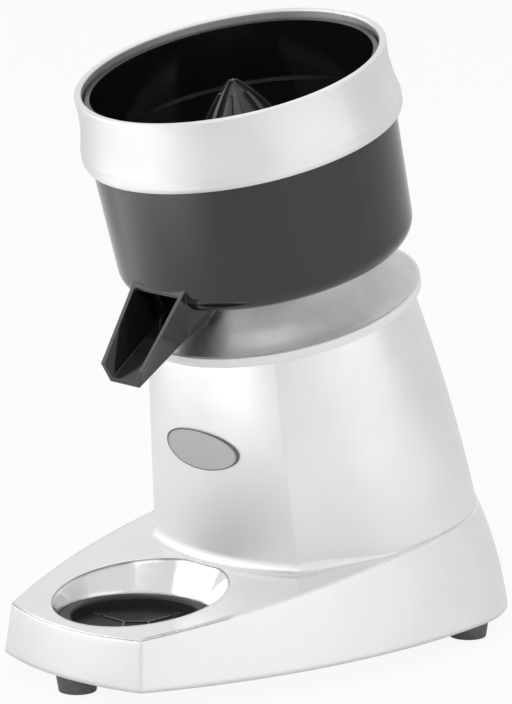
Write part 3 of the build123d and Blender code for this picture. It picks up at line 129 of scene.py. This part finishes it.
class Wire:
    """An output socket that takes part in Python expressions."""

    def __init__(self, graph, socket):
        self.graph = graph
        self.socket = socket

    def maths(self, operation, first, second):
        return self.graph.add("ShaderNodeMath", {"operation": operation}, {0: first, 1: second})

    def __add__(self, other):
        return self.maths("ADD", self, other)

    def __radd__(self, other):
        return self.maths("ADD", other, self)

    def __sub__(self, other):
        return self.maths("SUBTRACT", self, other)

    def __rsub__(self, other):
        return self.maths("SUBTRACT", other, self)

    def __mul__(self, other):
        return self.maths("MULTIPLY", self, other)

    def __rmul__(self, other):
        return self.maths("MULTIPLY", other, self)

    def __or__(self, other):
        return self.maths("MAXIMUM", self, other)

    def __ror__(self, other):
        return self.maths("MAXIMUM", other, self)


class Graph:
    """The node tree of one finish, or of the studio's surroundings."""

    def __init__(self, owner):
        owner.use_nodes = True
        self.tree = owner.node_tree
        self.tree.nodes.clear()

    def add(self, kind, settings=None, sockets=None, out=0):
        """Add a node: its settings first, then the values or links of its sockets."""
        node = self.tree.nodes.new(kind)
        for key, value in (settings or {}).items():
            if key == "stops":
                self.set_stops(node.color_ramp, value)
            else:
                setattr(node, key, value)
        for key, value in (sockets or {}).items():
            if isinstance(value, Wire):
                self.tree.links.new(value.socket, node.inputs[key])
            else:
                node.inputs[key].default_value = value
        return Wire(self, node.outputs[out]) if node.outputs else None

    def set_stops(self, ramp, stops):
        while len(ramp.elements) < len(stops):
            ramp.elements.new(1.0)
        for element, (place, level) in zip(ramp.elements, stops):
            element.position = place
            element.color = (level, level, level, 1.0)

    def vector(self, operation, first, second=None, out=0):
        sockets = {0: first}
        if second is not None:
            sockets[1] = second
        return self.add("ShaderNodeVectorMath", {"operation": operation}, sockets, out)

    def scaled(self, vector, scale):
        return self.add("ShaderNodeVectorMath", {"operation": "SCALE"}, {0: vector, "Scale": scale})

    def place(self):
        """Position on the piece, in metres of the shared frame."""
        return self.add("ShaderNodeTexCoord", out="Object")

    def noise(self, vector, scale, detail=2.0, rough=0.5):
        sockets = {"Vector": vector, "Scale": scale, "Detail": detail, "Roughness": rough}
        return self.add("ShaderNodeTexNoise", None, sockets)

    def ramp(self, value, stops):
        return self.add("ShaderNodeValToRGB", {"stops": stops}, {"Fac": value})

    def span(self, value, low, high):
        """0 below low, 1 above high, and smooth between them."""
        settings = {"interpolation_type": "SMOOTHSTEP"}
        sockets = {"Value": value, "From Min": low, "From Max": high}
        return self.add("ShaderNodeMapRange", settings, sockets)

    def blend(self, mask, first, second):
        """Mix of two colours."""
        return self.add("ShaderNodeMix", {"data_type": "RGBA"}, {0: mask, 6: first, 7: second}, 2)

    def axial(self, point, centre, axis):
        """Distance along an axis and distance from it."""
        offset = self.vector("SUBTRACT", point, centre)
        along = self.vector("DOT_PRODUCT", offset, axis, "Value")
        foot = self.scaled(axis, along)
        away = self.vector("LENGTH", self.vector("SUBTRACT", offset, foot), None, "Value")
        return along, away

    def upward(self):
        """Upward share of the surface's normal."""
        facing = self.add("ShaderNodeNewGeometry", out="Normal")
        return self.vector("DOT_PRODUCT", facing, UP, "Value")

    def both(self, first, second):
        """A vector of two changing numbers."""
        return self.add("ShaderNodeCombineXYZ", None, {"X": first, "Y": second})

    def relief(self, height, distance, strength=1.0, edge=None):
        """Surface normal from a height, over edges that are rounded by a radius."""
        sockets = {"Strength": strength, "Distance": distance, "Height": height}
        if edge:
            sockets["Normal"] = self.add("ShaderNodeBevel", {"samples": 6}, {"Radius": edge})
        return self.add("ShaderNodeBump", None, sockets)

    def surface(self, **sockets):
        """Principled surface, with its sockets named with underscores."""
        named = {key.replace("_", " "): value for key, value in sockets.items()}
        shader = self.add("ShaderNodeBsdfPrincipled", None, named)
        self.add("ShaderNodeOutputMaterial", None, {"Surface": shader})


def finish(name):
    """A new material and the graph that holds its nodes."""
    material = bpy.data.materials.new(name)
    return material, Graph(material)


def coat_nodes(material, *names):
    """Give CAD nodes a material."""
    for name in names:
        mesh = frame["nodes"][name].data
        mesh.materials.clear()
        mesh.materials.append(material)


def rgb(colour, share=1.0):
    return (colour[0] * share, colour[1] * share, colour[2] * share, 1.0)


class JuicerFinishes(bpy.types.PropertyGroup):
    """Colours and finishes that a user would change."""

    aluminium: bpy.props.FloatVectorProperty(
        name="Aluminium", description="Colour of the polished castings", subtype="COLOR",
        size=3, min=0.0, max=1.0, default=(0.875, 0.869, 0.866))
    polish: bpy.props.FloatProperty(
        name="Polish", description="Roughness of the polished castings", subtype="FACTOR",
        min=0.02, max=1.0, default=0.38)
    collar: bpy.props.FloatVectorProperty(
        name="Collar", description="Colour of the turned collar", subtype="COLOR",
        size=3, min=0.0, max=1.0, default=(0.65, 0.653, 0.664))
    bowl: bpy.props.FloatVectorProperty(
        name="Bowl", description="Colour of the bowl's outside", subtype="COLOR",
        size=3, min=0.0, max=1.0, default=(0.0128, 0.0126, 0.0128))
    # Colour of the bowl's inside, darker than the outside as painted shade
    bowl_inside_shade: bpy.props.FloatVectorProperty(
        name="Bowl inside", description="Colour of the bowl's inside", subtype="COLOR",
        size=3, min=0.0, max=1.0, default=(0.009, 0.009, 0.009))
    cone: bpy.props.FloatVectorProperty(
        name="Cone", description="Colour of the squeezing cone", subtype="COLOR",
        size=3, min=0.0, max=1.0, default=(0.045, 0.045, 0.05))
    tray: bpy.props.FloatVectorProperty(
        name="Tray", description="Colour of the drip tray", subtype="COLOR",
        size=3, min=0.0, max=1.0, default=(0.016, 0.016, 0.016))
    rubber: bpy.props.FloatVectorProperty(
        name="Rubber", description="Colour of the feet", subtype="COLOR",
        size=3, min=0.0, max=1.0, default=(0.11, 0.111, 0.115))
    badge: bpy.props.FloatVectorProperty(
        name="Badge", description="Colour of the bare badge plate", subtype="COLOR",
        size=3, min=0.0, max=1.0, default=(0.5, 0.5, 0.505))


class JuicerSizes(bpy.types.PropertyGroup):
    """Sizes of the pieces that the castings get here."""

    cove: bpy.props.FloatProperty(
        name="Cove", description="Radius of the cove at the pedestal's foot", unit="LENGTH",
        min=0.001, max=0.012, default=0.0065)
    cove_reach: bpy.props.FloatProperty(
        name="Cove reach", description="How far the cove runs to each side of the front",
        unit="ROTATION", default=math.radians(118.0))


class JuicerStudio(bpy.types.PropertyGroup):
    """Camera and light of the studio."""

    azimuth: bpy.props.FloatProperty(
        name="Azimuth", description="Camera's direction round the juicer", unit="ROTATION",
        default=math.radians(46.127))
    elevation: bpy.props.FloatProperty(
        name="Elevation", description="Camera's angle over the horizon", unit="ROTATION",
        default=math.radians(12.541))
    roll: bpy.props.FloatProperty(
        name="Roll", description="Camera's turn about its own axis", unit="ROTATION",
        default=math.radians(-0.233))
    distance: bpy.props.FloatProperty(
        name="Distance", description="Camera's distance from its target", unit="LENGTH",
        default=2.409)
    target: bpy.props.FloatVectorProperty(
        name="Target", description="Point that the camera looks at", subtype="XYZ",
        size=3, default=(-0.00213, 0.00069, 0.16497))
    lens: bpy.props.FloatProperty(
        name="Lens", description="Focal length", unit="CAMERA", default=222.56)
    floor: bpy.props.FloatProperty(
        name="Floor", description="Radius of the floor", unit="LENGTH", default=9.0)


def finishes():
    return bpy.context.scene.juicer_finishes


def heading(turn, lift):
    """Direction by its turn round the juicer, from the front, and its lift over the horizon."""
    flat = math.cos(lift)
    return Vector((math.sin(turn) * flat, -math.cos(turn) * flat, math.sin(lift)))


def polished(graph, point, colour, rough, edge, strokes=None, painted_reflection=None, **sockets):
    """Polished metal: cloudy polish, fine strokes of the wheel and a painted reflection, a dark
    line along an edge.
    """
    cloud = graph.noise(point, 22.0, 3.0)
    if strokes is None:
        strokes = graph.vector("MULTIPLY", point, (1.0, 1.0, 0.05))
    marks = graph.noise(strokes, 520.0, 3.0, 0.6)
    tint = graph.span(cloud * 0.7 + marks * 0.3, 0.3, 0.72)
    base = graph.blend(tint, rgb(colour, 0.95), rgb(colour))
    # Painted reflection: the masked edge is darkened to stand in for dark parts mirrored there
    if painted_reflection is not None:
        base = graph.blend(painted_reflection, base, rgb(colour, 0.3))
    height = cloud * 0.5 + marks * 0.012
    roughness = rough + (cloud - 0.5) * 0.12 + (marks - 0.5) * 0.1
    normal = graph.relief(height, 0.0011, 0.35, edge)
    graph.surface(Base_Color=base, Metallic=1.0, Roughness=roughness, Normal=normal, **sockets)


def moulded(graph, point, colour, rough, edge, grain=420.0, depth=0.00006):
    """Moulded plastic: even colour with a faint drift and a fine skin."""
    drift = graph.noise(point, 18.0, 2.0)
    skin = graph.noise(point, grain, 3.0)
    base = graph.blend(drift, rgb(colour, 0.86), rgb(colour, 1.12))
    roughness = rough + (drift - 0.5) * 0.08 + (skin - 0.5) * 0.06
    normal = graph.relief(skin + drift * 0.6, depth, 0.6, edge)
    return {"Base_Color": base, "Roughness": roughness, "Normal": normal}


class JUICER_OT_castings(bpy.types.Operator):
    """Polish the base and the motor housing"""

    bl_idname = "juicer.castings"
    bl_label = "Polished castings"

    def execute(self, context):
        look = finishes()
        material, graph = finish("polished_aluminium")
        point = graph.place()
        height = graph.vector("DOT_PRODUCT", point, UP, "Value")
        low = 1.0 - graph.span(height, *DULL_FOOT)
        polished(graph, point, look.aluminium, look.polish - 0.06 + low * 0.36, 1.6 * MM)
        coat_nodes(material, "motor_housing")
        material, graph = finish("polished_base")
        point = graph.place()
        away = graph.axial(point, WELL_CENTRE, UP)[1]
        upward = graph.upward()
        bright = graph.span(upward, *FACES_UP)
        under = graph.axial(point, DECK_POINT, DECK_UP)[0]
        inside = 1.0 - graph.span(away, *WELL_RIM)
        slope = bright * (1.0 - graph.span(upward, *FLAT_DECK)) * inside
        # Painted reflection: a dark line just under the deck round the well's rim, where the
        # rounded edge mirrored the dark bowl and spout
        rim = slope * graph.span(under, *RIM_PAINTED_REFLECTION) * 0.8
        rough = look.polish + 0.06 - bright * 0.32
        polished(graph, point, look.aluminium, rough, 4.0 * MM, painted_reflection=rim)
        coat_nodes(material, "base_casting")
        return {"FINISHED"}


def outside(node):
    """A node's surface, for finding where a line from outside meets it."""
    mesh = frame["nodes"][node].data
    return BVHTree.FromPolygons([v.co for v in mesh.vertices], [p.vertices for p in mesh.polygons])


class JUICER_OT_foot_cove(bpy.types.Operator):
    """Run a cast cove round the pedestal's foot, where the deck has room for it"""

    bl_idname = "juicer.foot_cove"
    bl_label = "Cove at the pedestal's foot"

    def execute(self, context):
        sizes = context.scene.juicer_sizes
        wall, base = outside("motor_housing"), outside("base_casting")
        up, across = Vector(DECK_UP), Vector((1.0, 0.0, 0.0))
        ahead = across.cross(up)
        low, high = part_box("motor_housing")
        middle = Vector(DECK_POINT) + ahead * ((low.y + high.y) / 2 - DECK_POINT[1]) / ahead.y

        def meet(tree, way, height):
            spot = tree.ray_cast(middle + way * OUTSIDE + up * height, -way)[0]
            if spot is None:
                raise RuntimeError("the pedestal's foot was not found")
            return spot

        turns = [sizes.cove_reach * (2.0 * i / COVE_STEPS - 1.0) for i in range(COVE_STEPS + 1)]
        ways = [ahead * math.cos(turn) + across * math.sin(turn) for turn in turns]
        feet = [meet(wall, way, FOOT_LEVEL) for way in ways]
        sections = []
        for i, way in enumerate(ways):
            along = feet[min(i + 1, COVE_STEPS)] - feet[max(i - 1, 0)]
            out = along.cross(up).normalized()
            out *= math.copysign(1.0, out.dot(way))
            room = (meet(base, way, EDGE_LEVEL) - feet[i]).dot(way)
            radius = min(sizes.cove, room * COVE_ROOM)
            if radius > COVE_LEAST:
                side = partial(meet, wall, way)
                sections.append(self.section(side, out, up, radius))
        self.build(sections)
        return {"FINISHED"}

    def section(self, wall, out, up, radius):
        """Points of one section: the cove from wall to deck, and a corner inside the castings."""
        points = []
        for k in range(COVE_ARC):
            arc = math.pi / 2 * k / (COVE_ARC - 1)
            rise = radius * (1.0 - math.sin(arc))
            reach = radius * (1.0 - math.cos(arc))
            foot = wall(max(rise, FOOT_LEVEL))
            foot = foot - up * (foot - Vector(DECK_POINT)).dot(up)
            points.append(foot + out * (reach - COVE_SINK) + up * (rise - COVE_SINK))
        points.append(points[0] - out * 1.0 * MM - up * (radius + 0.5 * MM))
        return points

    def build(self, sections):
        shape = bmesh.new()
        rows = [[shape.verts.new(point) for point in section] for section in sections]
        count = len(rows[0])
        for row, following in zip(rows, rows[1:]):
            for k in range(count):
                after = (k + 1) % count
                face = shape.faces.new((row[k], row[after], following[after], following[k]))
                face.smooth = k < COVE_ARC - 1
        shape.faces.new(rows[0])
        shape.faces.new(rows[-1])
        bmesh.ops.recalc_face_normals(shape, faces=shape.faces)
        for edge in shape.edges:
            edge.smooth = all(face.smooth for face in edge.link_faces)
        mesh = bpy.data.meshes.new("foot_cove")
        shape.to_mesh(mesh)
        shape.free()
        mesh.materials.append(self.metal())
        piece = bpy.data.objects.new("foot_cove", mesh)
        bpy.context.scene.collection.objects.link(piece)
        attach(piece, "stand")

    def metal(self):
        """As dull as the housing's foot at its top, and brighter towards the deck."""
        look = finishes()
        material, graph = finish("polished_cove")
        rough = look.polish + 0.3 - graph.span(graph.upward(), 0.15, 0.95) * 0.38
        polished(graph, graph.place(), look.aluminium, rough, None)
        return material


class JUICER_OT_splash_ring(bpy.types.Operator):
    """Polish the spun splash ring"""

    bl_idname = "juicer.splash_ring"
    bl_label = "Splash ring"

    def execute(self, context):
        look = finishes()
        material, graph = finish("spun_aluminium")
        point = graph.place()
        along = graph.axial(point, LIP_CENTRE, AXIS_UP)[0]
        strokes = graph.vector("SUBTRACT", point, graph.scaled(AXIS_UP, along * 0.96))
        polished(graph, point, look.aluminium, look.polish + 0.09, 0.8 * MM, strokes,
                 Anisotropic=0.75, Anisotropic_Rotation=0.25)
        coat_nodes(material, "splash_ring")
        return {"FINISHED"}


class JUICER_OT_collar(bpy.types.Operator):
    """Finish the turned top cover and the motor's lower end shield"""

    bl_idname = "juicer.collar"
    bl_label = "Turned collar"

    def execute(self, context):
        look = finishes()
        material, graph = finish("satin_aluminium")
        point = graph.place()
        along, away = graph.axial(point, LIP_CENTRE, AXIS_UP)
        rings = graph.noise(graph.both(along, away), 1100.0, 3.0, 0.7)
        stain = graph.noise(point, 55.0, 4.0, 0.6)
        specks = graph.span(graph.noise(point, 700.0, 2.0), 0.66, 0.76)
        base = graph.blend(graph.span(stain, 0.35, 0.7), rgb(look.collar, 0.9), rgb(look.collar))
        base = graph.blend(specks * 0.35, base, rgb(look.collar, 0.45))
        cast = graph.span(away, *COLLAR_RIM)
        base = graph.blend(cast, base, rgb(look.collar, 1.3))
        rough = 0.4 + (stain - 0.5) * 0.1 + (rings - 0.5) * 0.12 + cast * 0.3
        normal = graph.relief(rings * 0.12 + stain * 0.02, 0.0006, 0.4, 0.6 * MM)
        graph.surface(Base_Color=base, Metallic=1.0, Roughness=rough, Normal=normal)
        coat_nodes(material, "top_cover", "lower_end_shield")
        return {"FINISHED"}


class JUICER_OT_badge(bpy.types.Operator):
    """Finish the bare badge plate"""

    bl_idname = "juicer.badge"
    bl_label = "Badge plate"

    def execute(self, context):
        look = finishes()
        material, graph = finish("badge_metal")
        point = graph.place()
        offset = graph.vector("SUBTRACT", point, BADGE_CENTRE)
        reach = (1.0 / BADGE_HALF[0], 0.0, 1.0 / BADGE_HALF[2])
        out = graph.vector("LENGTH", graph.vector("MULTIPLY", offset, reach), None, "Value")
        border = graph.span(out, *BADGE_BORDER)
        grain = graph.noise(graph.vector("MULTIPLY", point, (0.06, 0.06, 1.0)), 2600.0, 2.0)
        plain = graph.blend(grain, rgb(look.badge, 0.85), rgb(look.badge))
        base = graph.blend(border, plain, rgb(look.badge, 0.3))
        rough = 0.36 + (grain - 0.5) * 0.16
        normal = graph.relief(grain * 0.2 + border, 0.0002, 0.5, 0.3 * MM)
        graph.surface(Base_Color=base, Metallic=1.0, Roughness=rough, Normal=normal)
        coat_nodes(material, "badge_plate")
        return {"FINISHED"}


class JUICER_OT_bowl(bpy.types.Operator):
    """Finish the moulded juice bowl, with painted shade darkening its inside"""

    bl_idname = "juicer.bowl"
    bl_label = "Juice bowl"

    def execute(self, context):
        look = finishes()
        material, graph = finish("bowl_plastic")
        point = graph.place()
        along, away = graph.axial(point, LIP_CENTRE, AXIS_UP)
        outer = graph.span(away, *BOWL_WALL) | graph.span(BOWL_FLOOR - along, 0.0, 1.0 * MM)
        parts = moulded(graph, point, look.bowl, 0.1, 0.7 * MM)
        drift = graph.noise(point, 30.0, 2.0)
        # Painted shade: the inside gets this darker colour, the outside keeps its own
        inside = graph.blend(drift, rgb(look.bowl_inside_shade, 0.8), rgb(look.bowl_inside_shade))
        parts["Base_Color"] = graph.blend(outer, inside, parts["Base_Color"])
        graph.surface(IOR=1.6, **parts)
        coat_nodes(material, "juice_bowl")
        return {"FINISHED"}


class JUICER_OT_cone(bpy.types.Operator):
    """Finish the moulded squeezing cone"""

    bl_idname = "juicer.cone"
    bl_label = "Squeezing cone"

    def execute(self, context):
        look = finishes()
        material, graph = finish("cone_plastic")
        graph.surface(IOR=1.53, **moulded(graph, graph.place(), look.cone, 0.24, 0.7 * MM))
        coat_nodes(material, "squeezing_cone")
        return {"FINISHED"}


class JUICER_OT_drip_tray(bpy.types.Operator):
    """Finish the drip tray, with the tops of its studs and ribs paler"""

    bl_idname = "juicer.drip_tray"
    bl_label = "Drip tray"

    def execute(self, context):
        look = finishes()
        material, graph = finish("tray_plastic")
        point = graph.place()
        parts = moulded(graph, point, look.tray, 0.5, 0.4 * MM, 900.0, 0.0001)
        above, away = graph.axial(point, WELL_CENTRE, UP)
        over = graph.span(above - TRAY_RIB_LEVEL, 0.0, 0.2 * MM)
        raised = over * (1.0 - graph.span(away, *TRAY_RIBS))
        parts["Base_Color"] = graph.blend(raised, parts["Base_Color"], rgb(look.tray, 8.0))
        graph.surface(**parts)
        coat_nodes(material, "drip_tray")
        return {"FINISHED"}


class JUICER_OT_rubber(bpy.types.Operator):
    """Finish the three feet and the shaft seal"""

    bl_idname = "juicer.rubber"
    bl_label = "Rubber feet and seal"

    def execute(self, context):
        look = finishes()
        material, graph = finish("foot_rubber")
        point = graph.place()
        bloom = graph.span(graph.noise(point, 160.0, 4.0, 0.6), 0.45, 0.75)
        grain = graph.noise(point, 1300.0, 3.0)
        base = graph.blend(bloom, rgb(look.rubber), rgb(look.rubber, 1.5))
        rough = 0.62 + (grain - 0.5) * 0.2
        normal = graph.relief(grain, 0.00025, 0.7, 0.8 * MM)
        graph.surface(Base_Color=base, Roughness=rough, Normal=normal)
        coat_nodes(material, "front_foot", "left_rear_foot", "right_rear_foot", "shaft_seal")
        return {"FINISHED"}


class JUICER_OT_steel(bpy.types.Operator):
    """Finish the strainer, the cover under the base, the shaft and the fasteners"""

    bl_idname = "juicer.steel"
    bl_label = "Steel pieces"

    def execute(self, context):
        kinds = (
            ("stainless_steel", (0.6, 0.595, 0.585), 0.3, (1.0, 0.05, 1.0),
             ("strainer", "bottom_cover", "motor_shaft", "drive_pin", "capacitor_clip")),
            ("zinc_steel", (0.56, 0.56, 0.53), 0.38, (1.0, 1.0, 1.0),
             ("cover_screws", "foot_screws", "housing_bolts", "collar_screws",
              "motor_through_bolts")),
            ("bearing_steel", (0.7, 0.7, 0.71), 0.2, (1.0, 1.0, 1.0),
             ("upper_bearing", "lower_bearing", "upper_bearing_race", "lower_bearing_race")),
        )
        for name, colour, rough, stretch, nodes in kinds:
            material, graph = finish(name)
            point = graph.place()
            grain = graph.noise(graph.vector("MULTIPLY", point, stretch), 1500.0, 3.0)
            cloud = graph.noise(point, 40.0, 3.0)
            base = graph.blend(cloud, rgb(colour, 0.82), rgb(colour))
            roughness = rough + (grain - 0.5) * 0.16
            normal = graph.relief(grain, 0.0001, 0.35, 0.3 * MM)
            graph.surface(Base_Color=base, Metallic=1.0, Roughness=roughness, Normal=normal)
            coat_nodes(material, *nodes)
        return {"FINISHED"}


class JUICER_OT_switch(bpy.types.Operator):
    """Finish the switch, the fan and the cord gland"""

    bl_idname = "juicer.switch"
    bl_label = "Switch, fan and gland"

    def execute(self, context):
        material, graph = finish("black_plastic")
        black = moulded(graph, graph.place(), (0.03, 0.03, 0.032), 0.42, 0.3 * MM, 1400.0, 0.00012)
        graph.surface(**black)
        coat_nodes(material, "switch_frame", "switch_body", "cooling_fan", "cord_gland")
        material, graph = finish("rocker_plastic")
        rocker = moulded(graph, graph.place(), (0.045, 0.045, 0.048), 0.2, 0.5 * MM)
        graph.surface(**rocker)
        coat_nodes(material, "switch_rocker")
        return {"FINISHED"}


class JUICER_OT_motor(bpy.types.Operator):
    """Finish the motor's laminations and windings"""

    bl_idname = "juicer.motor"
    bl_label = "Motor"

    def execute(self, context):
        material, graph = finish("lamination_steel")
        along = graph.axial(graph.place(), LIP_CENTRE, AXIS_UP)[0]
        sheets = graph.noise(graph.both(along, 0.0), 2400.0, 0.0)
        base = graph.blend(sheets, (0.13, 0.13, 0.14, 1.0), (0.32, 0.32, 0.33, 1.0))
        normal = graph.relief(sheets, 0.0003, 0.6)
        graph.surface(Base_Color=base, Metallic=1.0, Roughness=0.5, Normal=normal)
        coat_nodes(material, "stator_core", "rotor")
        material, graph = finish("copper_wire")
        point = graph.place()
        along, away = graph.axial(point, LIP_CENTRE, AXIS_UP)
        sag = graph.noise(point, 90.0, 2.0)
        turns = graph.noise(graph.both(along + sag * 0.002, away + sag * 0.002), 1200.0, 0.0)
        base = graph.blend(turns, (0.3, 0.11, 0.04, 1.0), (0.72, 0.34, 0.14, 1.0))
        normal = graph.relief(turns, 0.0006, 0.8)
        graph.surface(Base_Color=base, Metallic=0.9, Roughness=0.3, Normal=normal)
        coat_nodes(material, "stator_windings")
        return {"FINISHED"}


class JUICER_OT_electrics(bpy.types.Operator):
    """Finish the capacitor and the terminal block"""

    bl_idname = "juicer.electrics"
    bl_label = "Capacitor and terminals"

    def execute(self, context):
        material, graph = finish("capacitor_can")
        polished(graph, graph.place(), (0.58, 0.58, 0.59), 0.34, 0.4 * MM)
        coat_nodes(material, "capacitor")
        material, graph = finish("terminal_plastic")
        cream = moulded(graph, graph.place(), (0.72, 0.71, 0.66), 0.45, 0.3 * MM, 1200.0)
        graph.surface(**cream)
        coat_nodes(material, "terminal_block")
        return {"FINISHED"}


class JUICER_OT_stage(bpy.types.Operator):
    """Build the floor, the lamps, the surroundings and the camera"""

    bl_idname = "juicer.stage"
    bl_label = "Studio"

    def execute(self, context):
        studio = context.scene.juicer_studio
        self.floor(studio.floor)
        self.surroundings(context.scene)
        self.lamps(studio)
        self.camera(context.scene, studio)
        context.scene.view_settings.view_transform = "Standard"
        return {"FINISHED"}

    def floor(self, radius):
        shape = bmesh.new()
        bmesh.ops.create_circle(shape, cap_ends=True, radius=radius, segments=96)
        mesh = bpy.data.meshes.new("floor")
        shape.to_mesh(mesh)
        shape.free()
        plate = bpy.data.objects.new("floor", mesh)
        plate.location.z = -0.2 * MM
        bpy.context.scene.collection.objects.link(plate)
        material, graph = finish("floor_white")
        point = graph.place()
        paper = graph.noise(point, 40.0, 3.0)
        base = graph.blend(paper, (0.84, 0.84, 0.84, 1.0), (0.88, 0.88, 0.88, 1.0))
        matt = graph.add("ShaderNodeBsdfDiffuse", None, {"Color": base})
        white = graph.add("ShaderNodeEmission", None, {"Color": WHITE, "Strength": 1.0})
        camera = graph.add("ShaderNodeLightPath", out="Is Camera Ray")
        seen = self.seen(graph) * FLOOR_SEEN + camera * FLOOR_CAMERA
        mixed = graph.add("ShaderNodeMixShader", None, {0: seen, 1: matt, 2: white})
        graph.add("ShaderNodeOutputMaterial", None, {"Surface": mixed})
        mesh.materials.append(material)

    def seen(self, graph):
        """1 for rays that show a thing: the camera's own, mirrored or passed through."""
        camera = graph.add("ShaderNodeLightPath", out="Is Camera Ray")
        glossy = graph.add("ShaderNodeLightPath", out="Is Glossy Ray")
        through = graph.add("ShaderNodeLightPath", out="Is Transmission Ray")
        return camera | glossy | through

    def surroundings(self, scene):
        world = bpy.data.worlds.new("studio")
        scene.world = world
        graph = Graph(world)
        way = graph.add("ShaderNodeTexCoord", out="Generated")
        ahead = graph.vector("DOT_PRODUCT", way, WALL_WAY, "Value")
        walls = graph.ramp(ahead * 0.5 + 0.5, WALL_LEVELS)
        behind = graph.vector("DOT_PRODUCT", way, BACKDROP_WAY, "Value")
        backdrop = graph.span(behind, *BACKDROP_EDGE)
        walls = graph.blend(backdrop, walls, (0.88, 0.88, 0.88, 1.0))
        camera = graph.add("ShaderNodeLightPath", out="Is Camera Ray")
        shown = graph.blend(camera, walls, WHITE)
        light = graph.add("ShaderNodeBackground", None, {"Color": WHITE, "Strength": 0.55})
        wall = graph.add("ShaderNodeBackground", None, {"Color": shown, "Strength": 1.0})
        mixed = graph.add("ShaderNodeMixShader", None, {0: self.seen(graph), 1: light, 2: wall})
        graph.add("ShaderNodeOutputWorld", None, {"Surface": mixed})

    def lamps(self, studio):
        for name, turn, height, distance, wide, tall, radiance in SOFTBOXES:
            way = heading(studio.azimuth + math.radians(turn), math.radians(height))
            spot = Vector(SOFTBOX_AIM) + way * distance
            self.softbox(name, spot, -way, (wide, tall), radiance, SOFTBOX_SPREAD)
        for name, turn, reach, height, size, radiance, spread in FLOOR_WASHES:
            side = studio.azimuth + math.radians(turn)
            spot = Vector((math.sin(side) * reach, -math.cos(side) * reach, height))
            self.softbox(name, spot, Vector(DOWN), (size, size), radiance, spread)

    def softbox(self, name, spot, way, size, radiance, spread):
        """An area lamp, unseen by the camera, whose power follows from its radiance and area."""
        lamp = bpy.data.lights.new(name, "AREA")
        lamp.shape = "RECTANGLE"
        lamp.size, lamp.size_y = size
        lamp.energy = radiance * 4.0 * size[0] * size[1]
        lamp.spread = math.radians(spread)
        holder = bpy.data.objects.new(name, lamp)
        holder.location = spot
        holder.rotation_mode = "QUATERNION"
        holder.rotation_quaternion = way.to_track_quat("-Z", "Y")
        holder.visible_camera = False
        bpy.context.scene.collection.objects.link(holder)

    def camera(self, scene, studio):
        back = heading(studio.azimuth, studio.elevation)
        right = Vector((math.cos(studio.azimuth), math.sin(studio.azimuth), 0.0))
        up = back.cross(right)
        across = right * math.cos(studio.roll) + up * math.sin(studio.roll)
        above = up * math.cos(studio.roll) - right * math.sin(studio.roll)
        data = bpy.data.cameras.new("camera")
        data.lens = studio.lens
        data.clip_end = 60.0
        holder = bpy.data.objects.new("camera", data)
        place = Matrix.Translation(Vector(studio.target) + back * studio.distance)
        holder.matrix_world = place @ Matrix((across, above, back)).transposed().to_4x4()
        scene.collection.objects.link(holder)
        scene.camera = holder


PIECES = (
    JUICER_OT_castings,
    JUICER_OT_foot_cove,
    JUICER_OT_splash_ring,
    JUICER_OT_collar,
    JUICER_OT_badge,
    JUICER_OT_bowl,
    JUICER_OT_cone,
    JUICER_OT_drip_tray,
    JUICER_OT_rubber,
    JUICER_OT_steel,
    JUICER_OT_switch,
    JUICER_OT_motor,
    JUICER_OT_electrics,
    JUICER_OT_stage,
)


class VIEW3D_PT_juicer(bpy.types.Panel):
    """Lists the juicer's pieces and finishes"""

    bl_idname = "VIEW3D_PT_juicer"
    bl_label = "Citrus juicer"
    bl_space_type = "VIEW_3D"
    bl_region_type = "UI"
    bl_category = "Juicer"

    def draw(self, context):
        column = self.layout.column()
        scene = context.scene
        for group in (scene.juicer_finishes, scene.juicer_sizes, scene.juicer_studio):
            for name in group.__annotations__:
                column.prop(group, name)
        for piece in PIECES:
            column.operator(piece.bl_idname)


CLASSES = (JuicerFinishes, JuicerSizes, JuicerStudio, *PIECES, VIEW3D_PT_juicer)


def register():
    for item in CLASSES:
        bpy.utils.register_class(item)
    bpy.types.Scene.juicer_finishes = bpy.props.PointerProperty(type=JuicerFinishes)
    bpy.types.Scene.juicer_sizes = bpy.props.PointerProperty(type=JuicerSizes)
    bpy.types.Scene.juicer_studio = bpy.props.PointerProperty(type=JuicerStudio)


def unregister():
    del bpy.types.Scene.juicer_studio
    del bpy.types.Scene.juicer_sizes
    del bpy.types.Scene.juicer_finishes
    for item in reversed(CLASSES):
        bpy.utils.unregister_class(item)


def main():
    register()
    for piece in PIECES:
        group, name = piece.bl_idname.split(".")
        getattr(getattr(bpy.ops, group), name)()


if __name__ == "__main__":
    main()
